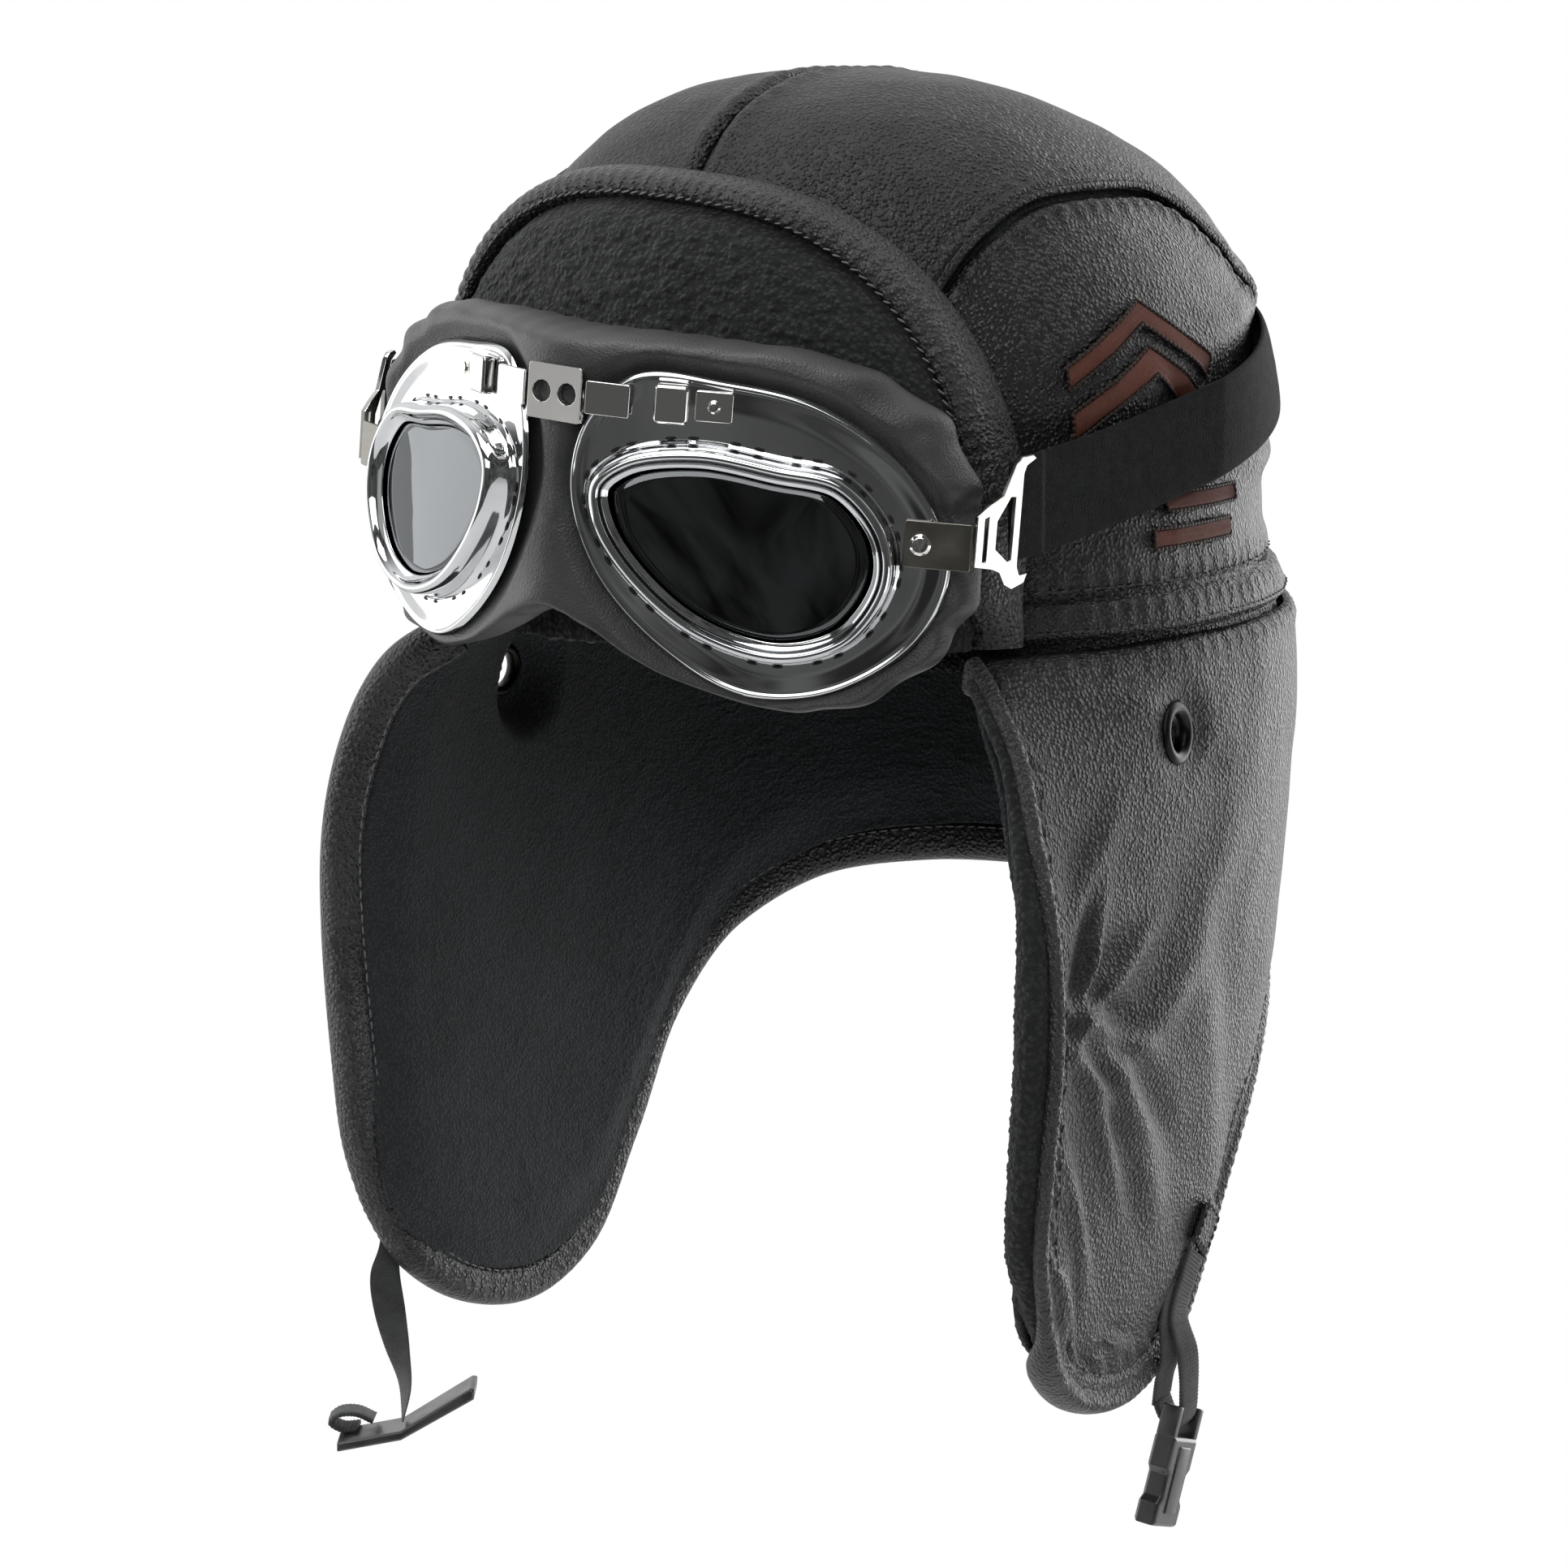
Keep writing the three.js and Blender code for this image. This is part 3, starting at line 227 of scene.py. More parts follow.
def new_material(name):
    """An empty material: itself, its tree and object coordinates."""
    material = bpy.data.materials.new(name)
    material.use_nodes = True
    tree = material.node_tree
    tree.nodes.clear()
    return material, tree, add_node(tree, "ShaderNodeTexCoord").outputs["Object"]


def surfaced(material, inputs):
    """The material, with a principled surface of these inputs."""
    tree = material.node_tree
    shader = add_node(tree, "ShaderNodeBsdfPrincipled", inputs)
    add_node(tree, "ShaderNodeOutputMaterial", {"Surface": shader.outputs["BSDF"]})
    return material


def ramp(tree, value, *stops):
    """A colour ramp of (position, grey) or (position, colour) stops."""
    node = add_node(tree, "ShaderNodeValToRGB", {"Fac": value})
    while len(node.color_ramp.elements) < len(stops):
        node.color_ramp.elements.new(0.5)
    for element, (position, colour) in zip(node.color_ramp.elements, stops):
        element.position = position
        grey = (colour, colour, colour) if isinstance(colour, float) else colour
        element.color = (*grey, 1)
    return node.outputs["Color"]


def noise_at(tree, place, scale, detail=3.0):
    inputs = {"Vector": place, "Scale": scale, "Detail": detail}
    return add_node(tree, "ShaderNodeTexNoise", inputs).outputs["Fac"]


def bump(tree, height, distance, strength=1.0):
    inputs = {"Height": height, "Distance": distance, "Strength": strength}
    return add_node(tree, "ShaderNodeBump", inputs).outputs["Normal"]


def webbing_material():
    """Dull black polyester yarn: fine yarn relief over the ribs, a little dust."""
    material, tree, place = new_material("webbing")
    yarn = add_node(tree, "ShaderNodeTexVoronoi", {"Vector": place, "Scale": 3200.0}).outputs["Distance"]
    dust = noise_at(tree, place, 220.0)
    return surfaced(material, {
        "Base Color": ramp(tree, dust, (0.3, (0.030, 0.031, 0.032)), (0.8, (0.062, 0.064, 0.066))),
        "Roughness": ramp(tree, yarn, (0.0, 0.55), (0.7, 0.85)),
        "Sheen Weight": 0.25,
        "Sheen Roughness": 0.4,
        "Normal": bump(tree, yarn, 0.0002, 0.6),
    })


webbing = webbing_material()
tapes = {}
for side, rows in (("left", LEFT_WEBBING), ("right", RIGHT_WEBBING)):
    bm, path, length = tape(rows, WEBBING_WIDTH, WEBBING_THICK, WEBBING_RIB)
    obj = piece(f"webbing_{side}", bm, webbing, "webbing", f"chin_webbing_{side}")
    tapes[side] = (obj, path, length)

# The far tape's cut end is folded into a short loop behind the buckle plate. The near tape comes back up
# from its buckle and lies under itself on the flap.
TAIL = [
    (-103.6, -64.0, -209.2, 123), (-107.5, -66.3, -207.3, 123), (-111.2, -68.6, -207.6, 123),
    (-113.0, -69.6, -209.6, 123), (-110.5, -68.2, -211.4, 123), (-107.0, -66.2, -211.2, 123),
]
RETURN = [
    (87.8, -1.8, -188.2, 90), (89.6, -3.8, -182.5, 88), (92.0, -5.6, -176, 86), (91.4, -5.6, -167, 90),
    (91.6, -2.6, -159, 90), (92.0, 1.2, -152.5, 90),
]

# ---------------------------------------------------------------------------------------------
# Chin buckle: a side-release buckle of moulded black plastic, undone, so each half hangs on its tape.
# Edges are moulded round; the gloss is broken by fine moulding texture and handling scuffs.


def bevelled_copy(node, width, angle=32):
    """The CAD node's own shape, with its triangles merged and its edges rounded by width in mm."""
    bm = bmesh.new()
    bm.from_mesh(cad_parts[node].data)
    bmesh.ops.remove_doubles(bm, verts=bm.verts, dist=1e-6)
    bmesh.ops.dissolve_limit(bm, angle_limit=math.radians(1), verts=bm.verts, edges=bm.edges)
    bmesh.ops.recalc_face_normals(bm, faces=bm.faces)
    sharp = [e for e in bm.edges if len(e.link_faces) == 2 and e.calc_face_angle() > math.radians(angle)]
    bmesh.ops.bevel(
        bm, geom=sharp, offset=width * MM, segments=3, profile=0.5, affect="EDGES",
        material=-1, clamp_overlap=True, harden_normals=False,
    )
    return bm


def hard_piece(name, node, width, material, slot):
    """A hard part: its own shape with rounded edges, shaded flat where it is flat."""
    obj = piece(name, bevelled_copy(node, width), material, slot, node)
    weighted = obj.modifiers.new("flat faces", "WEIGHTED_NORMAL")
    weighted.keep_sharp = True
    return obj


def plastic_material():
    """Moulded black plastic: satin gloss, fine orange peel, scuffs."""
    material, tree, place = new_material("moulded plastic")
    peel = noise_at(tree, place, 1400.0)
    scuffs = noise_at(tree, place, 160.0, 6.0)
    return surfaced(material, {
        "Base Color": ramp(tree, scuffs, (0.35, (0.020, 0.021, 0.022)), (0.75, (0.034, 0.035, 0.037))),
        "Roughness": ramp(tree, scuffs, (0.4, 0.26), (0.7, 0.40)),
        "Specular IOR Level": 1.0,
        "Normal": bump(tree, peel, 0.0001, 0.25),
    })


plastic = plastic_material()
socket = hard_piece("socket_half", "buckle_socket_half", 0.35, plastic, "plastic")
prongs = hard_piece("prong_half", "buckle_prong_half", 0.3, plastic, "plastic")

# The socket's webbing bar: two side arms with a round bar between them, and a raised panel on the face.
SOCKET_TOP = np.array([91.8, -1.2, -197.1])
socket_up = unit(np.array([0.1, 0.3, 0.95]))
socket_wide = unit(np.array([0, 1.0, 0]) - 0.3 * socket_up)
socket_out = np.cross(socket_wide, socket_up)


def in_socket(wide, up, out, size):
    """Places a unit shape in the socket half: its middle and its size in mm across, up and out."""
    middle = SOCKET_TOP + socket_wide * wide + socket_up * up + socket_out * out
    return laid_out(socket_wide * size[0], socket_up * size[1], socket_out * size[2], middle)


bm = bmesh.new()
for wide in (-5.6, 5.6):
    bmesh.ops.create_cube(bm, size=1, matrix=in_socket(wide, 3.4, 0, (1.9, 7.6, 5.0)))
bmesh.ops.create_cube(bm, size=1, matrix=in_socket(0, -10.5, 2.9, (5.6, 16.5, 1.1)))
bmesh.ops.bevel(bm, geom=bm.edges, offset=0.0004, segments=3, profile=0.5, affect="EDGES", material=-1)
turned = in_socket(0, 5.7, -0.6, (1.0, 1.0, 1.0)) @ Matrix.Rotation(math.radians(90), 4, "Y")
bmesh.ops.create_cone(bm, cap_ends=True, segments=24, radius1=0.95, radius2=0.95, depth=11, matrix=turned)
bmesh.ops.recalc_face_normals(bm, faces=bm.faces)
arms = piece("socket_arms", bm, plastic, "plastic")
arms.data.set_sharp_from_angle(angle=math.radians(40))
tail = piece("webbing_tail", tape(TAIL, WEBBING_WIDTH, WEBBING_THICK, WEBBING_RIB)[0], webbing, "webbing")
back_run = tape(RETURN, WEBBING_WIDTH, 1.1, WEBBING_RIB)[0]
back_run = piece("webbing_return", back_run, webbing, "webbing")
for side, ends in (("left", [socket, arms, back_run]), ("right", [prongs, tail])):
    obj, path, length = tapes[side]

# ---------------------------------------------------------------------------------------------
# Crown: four panels of black pebble-grained imitation leather, two over the top and one at each side,
# sewn over padding. The top panels lap over the sides in a topstitched welt; the elastic strap presses
# the leather in, and a narrow gathered band runs round the bottom.

HALF_WIDTH, FRONT_REACH, BACK_REACH = 93, 95, 106
CROWN_TOP, CROWN_Y, PLAN_POWER, DOME_POWER = 129, 5.3, 2.15, 2.3
LEATHER = 2
SIDE_SEAM = [
    (0, 62), (28, 58), (51, 58.3), (66, 62.2), (81, 69.5), (95, 72.5), (108, 80), (122, 86), (140, 76),
    (160, 60), (180, 50),
]
SEAM_GAP = 0.0022
WELT_WIDTH = 4.4
BAND_TOP = 10.3
STRAP_HEIGHT = {"left": 31.7, "right": 47.4, "back": 65}
STRAP_START_Y, STRAP_BACK = -73.2, 105
STITCH_PITCH = 3.3
MEAN_RADIUS = 98
rng = np.random.default_rng(7)


def smooth(x, low, high):
    t = np.clip((x - low) / (high - low), 0, 1)
    return t * t * (3 - 2 * t)


def noise_mm(points, scale, seed=0):
    """Smooth noise from about -1 to 1 at points in mm, with features of about scale mm."""
    shift = Vector((seed * 17.3, seed * 5.1, seed * 9.7))
    return np.array([noise.noise(Vector(point) / scale + shift) for point in points])


def crown_excess(points, offset):
    """Below 0 inside the crown's surface, grown outward by offset mm."""
    x, y, z = points.T
    grow = 1 + offset / FRONT_REACH
    start = 42 - 14 * smooth(y, CROWN_Y - 60, CROWN_Y + 60)
    rise = np.maximum(0, (z - start) / (CROWN_TOP - start + offset))
    middle = CROWN_Y - 16 * np.minimum(1, rise) ** 3
    reach = np.where(y < middle, FRONT_REACH, BACK_REACH)
    across = np.abs(x) / (grow * HALF_WIDTH)
    lengthwise = np.abs(y - middle) / (grow * reach)
    plan = (across**PLAN_POWER + lengthwise**PLAN_POWER) ** (1 / PLAN_POWER)
    flare = 0.045 * np.maximum(0, (start - z) / start) ** 1.5
    return np.where(z < start, plan - 1 - flare, plan**DOME_POWER + rise**DOME_POWER - 1)


def crown_hit(origins, directions, offset=0.0):
    """Where rays from inside leave the crown's surface, grown by offset mm."""
    directions = unit(directions)
    inside, outside = np.zeros(len(directions)), np.full(len(directions), 200.0)
    for _ in range(26):
        middle = (inside + outside) / 2
        out = crown_excess(origins + directions * middle[:, None], offset) > 0
        outside = np.where(out, middle, outside)
        inside = np.where(out, inside, middle)
    return origins + directions * outside[:, None]


def from_centre(directions, offset=0.0):
    return crown_hit(np.array([0, CROWN_Y, 0.0]), directions, offset)


def strap_height(x, y):
    """The height of the strap's middle as it climbs from the buckles to the back of the head."""
    climb = np.clip((y - STRAP_START_Y) / (CROWN_Y + STRAP_BACK - STRAP_START_Y), 0, 1)
    low = np.where(x > 0, STRAP_HEIGHT["left"], STRAP_HEIGHT["right"])
    return low + (STRAP_HEIGHT["back"] - low) * climb


def crown_relief(points):
    """How far the padded leather stands out or in, in mm: dents, soft creases, band and strap."""
    x, y, z = points.T
    arc = np.arctan2(x, y) * MEAN_RADIUS
    relief = 0.5 * np.sin(y / 19 + 1) * np.sin(z / 23 + x / 31) - 0.3
    relief += 0.7 * noise_mm(points, 30) + 0.28 * noise_mm(points * [1, 1, 1.6], 11, 1)
    relief -= 2.6 * smooth(y, 5, 60) * smooth(z, 75, 50) * smooth(z, -2, 16)
    relief += 2.2 * np.exp(-(((y - 62) / 30) ** 2) - ((z - 98) / 22) ** 2)
    relief -= 1.5 * np.exp(-(((y + 50) / 36) ** 2) - ((z - 108) / 26) ** 2)
    behind_cuff = smooth(y, -72, -60)
    puckers = np.sin(2 * np.pi * arc / 6.3 + 2.4 * noise_mm(points * [1, 1, 0.2], 17, 2))
    groove = np.exp(-(((z - BAND_TOP) / 1.15) ** 2))
    seam = np.exp(-((z / 1.5) ** 2))
    band = smooth(z, BAND_TOP + 1, BAND_TOP - 2) * smooth(z, 0, 2)
    relief += behind_cuff * (0.9 * band - 1.5 * groove - 1.6 * seam)
    relief += behind_cuff * 0.34 * puckers * np.exp(-(((z - BAND_TOP) / 6) ** 2)) * (1 - groove)
    relief += behind_cuff * 0.7 * np.exp(-(((z - BAND_TOP - 5) / 3.5) ** 2))
    beside = np.abs(z - strap_height(x, y))
    pressed = smooth(y, -38, -18)
    relief -= pressed * 1.0 * smooth(beside, 15, 9)
    relief += pressed * (1.3 + 0.6 * noise_mm(points, 14, 3)) * np.exp(-(((beside - 18) / 5) ** 2))
    creases = np.maximum(0, noise_mm(points * [0.6, 0.6, 2.2], 12, 4)) ** 1.5
    relief += pressed * 1.2 * creases * np.exp(-(((beside - 22) / 12) ** 2))
    return relief


seam_line = spline(SIDE_SEAM)


def seam_out(over):
    return np.interp(over, seam_line[:, 0], seam_line[:, 1]) / 100


def over_direction(over, out):
    return np.stack([out, -np.cos(np.radians(over)), np.sin(np.radians(over))], axis=-1)


def denser_ends(v):
    return 0.45 * v + 0.55 * (0.5 - 0.5 * np.cos(np.pi * v))


def top_point(sign, over, share, lift=0.0):
    """A point of a top panel: degrees over the crown, share of the way from centre to side seam."""
    out = SEAM_GAP + (seam_out(over) - 2 * SEAM_GAP) * share
    directions = over_direction(over, sign * out)
    flat = from_centre(directions)
    edge = from_centre(over_direction(over, sign * seam_out(over)))
    to_side = np.linalg.norm(edge - flat, axis=1)
    relief = crown_relief(flat)
    relief -= 1.7 * np.exp(-((flat[:, 0] / 1.2) ** 2))
    ripple = 0.5 + 0.5 * np.sin(2 * np.pi * over / 3.1 + 3 * noise_mm(flat, 20, 5))
    relief += (0.5 + 0.3 * ripple) * np.exp(-(((np.abs(flat[:, 0]) - 3.6) / 2.4) ** 2))
    relief += 1.15 * smooth(to_side, WELT_WIDTH + 0.9, WELT_WIDTH - 0.6) * smooth(to_side, -0.3, 0.9)
    relief -= 0.5 * np.exp(-(((to_side - 2.1) / 0.5) ** 2))
    relief += 0.3 * ripple * np.exp(-(((to_side - WELT_WIDTH - 2) / 2) ** 2))
    return from_centre(directions, relief + lift)


def side_point(sign, column, share, lift=0.0):
    """A point of a side panel: share of the way round, and of the way from seam to brow."""
    over = 7 + 166 * column
    first = math.atan2(-1, float(seam_out(0)) + SEAM_GAP)
    last = math.atan2(1, float(seam_out(180)) + SEAM_GAP)
    angle = first + (last - first) * column
    seam = unit(over_direction(over, seam_out(over) + SEAM_GAP))
    directions = seam + (towards(angle) - seam) * share[:, None]
    directions[:, 0] *= sign
    flat = from_centre(directions)
    seam[:, 0] *= sign
    to_seam = np.linalg.norm(from_centre(seam) - flat, axis=1)
    relief = crown_relief(flat) - 1.8 * np.exp(-((to_seam / 1.5) ** 2))
    ripple = 0.5 + 0.5 * np.sin(2 * np.pi * over / 3.4 + 3 * noise_mm(flat, 18, 6))
    relief += 0.7 * ripple * np.exp(-(((to_seam - 4) / 2.6) ** 2))
    return from_centre(directions, relief + lift)


def stitches(line, outward, pitch=STITCH_PITCH, length=2.5, thick=0.5, lean=0.0):
    """A row of thread stitches lying along a line, each a slim bead sunk at its ends."""
    bm = bmesh.new()
    count = int(line_length(line) / pitch)
    shares = (np.arange(count) + 0.5) / count
    middles, up = np.hsplit(along(np.hstack([line, outward]), shares), 2)
    ahead = unit(along(line, np.minimum(shares + 0.002, 1)) - along(line, np.maximum(shares - 0.002, 0)))
    up = unit(up - (up * ahead).sum(axis=1, keepdims=True) * ahead)
    for middle, x_axis, z_axis in zip(middles, ahead, up):
        y_axis = np.cross(z_axis, x_axis)
        swing = lean + 0.06 * rng.standard_normal()
        x_turned = x_axis * math.cos(swing) + y_axis * math.sin(swing)
        y_turned = np.cross(z_axis, x_turned)
        size = length / 2 * (1 + 0.05 * rng.standard_normal())
        matrix = laid_out(x_turned * size, y_turned * thick / 2, z_axis * thick / 2, middle)
        bmesh.ops.create_uvsphere(bm, u_segments=6, v_segments=5, radius=1, matrix=matrix)
    return bm


def scaled_sum(tree, value, factor, rest):
    """value times factor, plus rest."""
    inputs = {0: value, 1: factor, 2: rest}
    return add_node(tree, "ShaderNodeMath", inputs, operation="MULTIPLY_ADD").outputs[0]


def mixed(tree, share, low, high, blend="MIX"):
    """A colour that share takes from low to high, or to their product for MULTIPLY."""
    inputs = {0: share, 6: low, 7: high}
    return add_node(tree, "ShaderNodeMix", inputs, data_type="RGBA", blend_type=blend).outputs[2]


def pebble_group():
    """Pebble grain: a cell relief of about 1 mm, finer grain within it and slow creases.
    Gives the height in mm and a mask of the raised pebbles."""
    group = bpy.data.node_groups.new("pebble grain", "ShaderNodeTree")
    group.interface.new_socket("Vector", in_out="INPUT", socket_type="NodeSocketVector")
    group.interface.new_socket("Height", in_out="OUTPUT", socket_type="NodeSocketFloat")
    group.interface.new_socket("Pebbles", in_out="OUTPUT", socket_type="NodeSocketFloat")
    inputs, outputs = add_node(group, "NodeGroupInput"), add_node(group, "NodeGroupOutput")
    place = inputs.outputs["Vector"]
    bend = add_node(group, "ShaderNodeTexNoise", {"Vector": place, "Scale": 420.0, "Detail": 2.0})
    nudge = add_node(group, "ShaderNodeVectorMath", {0: bend.outputs["Color"], "Scale": 0.0007},
                     operation="SCALE")
    moved = add_node(group, "ShaderNodeVectorMath", {0: place, 1: nudge.outputs[0]}, operation="ADD")
    cells = add_node(group, "ShaderNodeTexVoronoi", {"Vector": moved.outputs[0], "Scale": 900.0,
                     "Smoothness": 0.35}, feature="SMOOTH_F1")
    fine = add_node(group, "ShaderNodeTexVoronoi", {"Vector": moved.outputs[0], "Scale": 2100.0})
    pebbles = ramp(group, cells.outputs["Distance"], (0.1, 1.0), (0.62, 0.0))
    relief = scaled_sum(group, fine.outputs["Distance"], -0.28, pebbles)
    creases = add_node(group, "ShaderNodeTexNoise", {"Vector": place, "Scale": 130.0, "Detail": 4.0,
                       "Distortion": 0.6})
    total = scaled_sum(group, creases.outputs["Fac"], 0.7, relief)
    group.links.new(total, outputs.inputs["Height"])
    group.links.new(pebbles, outputs.inputs["Pebbles"])
    return group


pebble_grain = pebble_group()


def leather_material(name, dark, light, dull, shiny, relief):
    """Black imitation leather: pebble relief, shinier on worn pebble tops, duller in the creases; the raised
    pebble tops are also painted lighter, a painted highlight on the grain.
    """
    material, tree, place = new_material(name)
    grain = add_node(tree, "ShaderNodeGroup", {"Vector": place}, node_tree=pebble_grain)
    patches = noise_at(tree, place, 34.0, 5.0)
    tone = ramp(tree, patches, (0.3, dark), (0.75, light))
    gloss = add_node(tree, "ShaderNodeMix", {0: grain.outputs["Pebbles"], 2: dull, 3: shiny},
                     data_type="FLOAT")
    # Painted highlight: the raised pebbles take the light colour, so the grain's tops read lighter than its
    # hollows.
    return surfaced(material, {
        "Base Color": mixed(tree, grain.outputs["Pebbles"], tone, (*light, 1)),
        "Roughness": scaled_sum(tree, patches, 0.12, gloss.outputs[0]),
        "Specular IOR Level": 0.42,
        "Normal": bump(tree, grain.outputs["Height"], relief),
    })


def thread_material(name, colour, pale):
    """Twisted polyester sewing thread with a soft shine."""
    material, tree, place = new_material(name)
    twist = noise_at(tree, place, 2600.0)
    return surfaced(material, {
        "Base Color": ramp(tree, twist, (0.3, colour), (0.7, pale)),
        "Roughness": ramp(tree, twist, (0.3, 0.42), (0.7, 0.6)),
        "Specular IOR Level": 0.3,
        "Normal": bump(tree, twist, 0.0002, 0.5),
    })


leather = leather_material(
    "pebbled leather", (0.0045, 0.0045, 0.0048), (0.012, 0.012, 0.0125), 0.42, 0.25, 0.00048
)
black_thread = thread_material("black thread", (0.025, 0.025, 0.027), (0.08, 0.08, 0.084))


def skin(obj, thickness):
    """Gives a sheet its thickness, inward."""
    solid = obj.modifiers.new("thickness", "SOLIDIFY")
    solid.thickness = thickness * MM
    solid.offset = -1
    return obj


for side, sign in (("left", 1), ("right", -1)):
    bm = sheet(230, 66, lambda u, v, s=sign: top_point(s, 180 * u, denser_ends(v)), (0, 5, 0))
    obj = skin(piece(f"top_panel_{side}", bm, leather, "leather", f"crown_top_{side}"), LEATHER)
    bm = sheet(210, 84, lambda u, v, s=sign: side_point(s, u, denser_ends(v)), (0, 5, 0))
    obj = skin(piece(f"side_panel_{side}", bm, leather, "leather", f"crown_side_{side}"), LEATHER)
    overs = np.linspace(8, 174, 260)
    edge_lengths = np.linalg.norm(
        from_centre(over_direction(overs, sign * seam_out(overs)))
        - from_centre(over_direction(overs, 0 * overs)), axis=1)
    line = top_point(sign, overs, 1 - 2.1 / edge_lengths, 0.15)
    bm = stitches(line, line - [0, CROWN_Y, 0])
    piece(f"welt_stitches_{side}", bm, black_thread, "leather")
    columns = np.linspace(0.1, 1, 240)
    ring = side_point(sign, columns, 1 + 0 * columns)
    outward = ring * [1, 1, 0] - [0, CROWN_Y, 0]
    for name, height in (("band", BAND_TOP + 1.8), ("brow", 2.8)):
        origin = np.array([0, CROWN_Y, height])
        ring = crown_hit(origin, outward, crown_relief(crown_hit(origin, outward)) + 0.25)
        bm = stitches(ring, ring - [0, CROWN_Y, 0])
        piece(f"{name}_stitches_{side}", bm, black_thread, "leather")

# ---------------------------------------------------------------------------------------------
# Embroidery on the near side panel: two plain brown satin-stitch chevrons over two short bars, each
# filled with close upright threads, sewn through the leather and edged with a darker outline.

EMBROIDERY = [
    # corner points in mm along the head (y) and up (z), and the width of the filled stroke
    ([(-42, 49), (-17, 63), (8, 49)], 6.6),
    ([(-42, 60), (-17, 74), (8, 60)], 5.4),
    ([(-20, 22), (16, 22)], 4.6),
    ([(-14, 30), (18, 30)], 4.0),
]
THREAD_PITCH = 0.42
SATIN_HALF_WIDTH, SATIN_HALF_HEIGHT, SATIN_LIFT = 0.27, 0.34, 0.6


def on_side(places, lift=0.0):
    """Points on the near side panel at these y and z, in mm."""
    origins = np.column_stack([0 * places[:, 0], places[:, 0], places[:, 1]])
    ahead = np.tile([1.0, 0, 0], (len(places), 1))
    relief = crown_relief(crown_hit(origins, ahead))
    return crown_hit(origins, ahead, relief + lift)


def satin(corners, width):
    """Threads laid across a stroke, mitred where it turns."""
    bm = bmesh.new()
    corners = np.array(corners, float)
    for start, end in zip(corners, corners[1:]):
        run = end - start
        count = int(np.linalg.norm(run) / THREAD_PITCH)
        middles = start + run * ((np.arange(count) + 0.5) / count)[:, None]
        upright = np.tile([0.0, 1.0], (count, 1)) * width / 2
        low, high = (on_side(middles + half, SATIN_LIFT) for half in (-upright, upright))
        out = unit((low + high) / 2 - [0, CROWN_Y, 20])
        for a, b, normal in zip(low, high, out):
            across = b - a
            flat = np.cross(unit(across), normal)
            half = across / 2 * (1 + 0.02 * rng.standard_normal())
            matrix = laid_out(half, flat * SATIN_HALF_WIDTH, normal * SATIN_HALF_HEIGHT, (a + b) / 2)
            bmesh.ops.create_uvsphere(bm, u_segments=6, v_segments=6, radius=1, matrix=matrix)
    return bm


brown_thread = thread_material("brown thread", (0.085, 0.026, 0.017), (0.17, 0.058, 0.038))
outline_thread = thread_material("dark outline thread", (0.012, 0.007, 0.006), (0.03, 0.018, 0.014))
for number, (corners, width) in enumerate(EMBROIDERY):
    piece(f"embroidery_{number}", satin(corners, width), brown_thread, "leather")
    path = np.array(corners, float)
    rim = np.vstack([path + [0, width / 2], (path - [0, width / 2])[::-1], path[:1] + [0, width / 2]])
    dense = along(np.column_stack([rim, 0 * rim[:, 0]]), np.linspace(0, 1, 400))[:, :2]
    line = on_side(dense, 0.7)
    bm = stitches(line, line - [0, CROWN_Y, 20], pitch=1.5, length=1.9, thick=1.0)
    piece(f"embroidery_outline_{number}", bm, outline_thread, "leather")

# ---------------------------------------------------------------------------------------------
# Crown lining: one dome of short black polyester fleece, 4 mm thick, inside the leather and open
# below. It is sewn in along the brow seam.

LINING_OUTER = -LEATHER - 1.2
CROWN_FLEECE = 4


def curls(points, size, seed=0):
    """The relief of curled pile, 0 to 1: round tufts of about size mm with dark gaps between."""
    values = []
    for point in points:
        near = noise.voronoi(Vector(point) / size + Vector((seed, 0, seed)))[0]
        values.append(min(1.0, 1.6 * (near[1] - near[0])) * 0.6 + 0.4 * (1 - near[0]))
    return np.array(values)


def lining_point(u, v):
    turn, rise = 2 * np.pi * u, np.pi / 2 * v
    directions = np.stack([np.cos(rise) * np.cos(turn), np.cos(rise) * np.sin(turn), np.sin(rise)], axis=-1)
    flat = from_centre(directions, LINING_OUTER - CROWN_FLEECE)
    return from_centre(directions, LINING_OUTER - CROWN_FLEECE - 0.5 * curls(flat, 2.6, 3) + 0.4)


def fleece_material(name, dark, light, scale):
    """Short polyester fleece: curled tufts, a soft sheen; its colour is painted light on the tuft tips and
    dark in the deep gaps, painted highlight and painted shade.
    """
    material, tree, place = new_material(name)
    tufts = add_node(tree, "ShaderNodeTexVoronoi", {"Vector": place, "Scale": scale, "Smoothness": 0.5},
                     feature="SMOOTH_F1").outputs["Distance"]
    fibres = noise_at(tree, place, scale * 3.4, 6.0)
    patches = noise_at(tree, place, 45.0, 4.0)
    tips = ramp(tree, tufts, (0.1, 1.0), (0.6, 0.0))
    height = scaled_sum(tree, fibres, 0.9, tips)
    # Painted highlight and shade: the colour follows the tufts' height, light on their tips, dark in the
    # gaps between them.
    tone = mixed(tree, height, (*dark, 1), (*light, 1))
    mottling = ramp(tree, patches, (0.3, 0.35), (0.75, 1.0))
    return surfaced(material, {
        "Base Color": mixed(tree, 0.5, tone, mottling, "MULTIPLY"),
        "Roughness": ramp(tree, fibres, (0.3, 0.8), (0.7, 0.98)),
        "Specular IOR Level": 0.25,
        "Sheen Weight": 0.12,
        "Sheen Roughness": 0.5,
        "Normal": bump(tree, height, 0.0006, 0.9),
    })


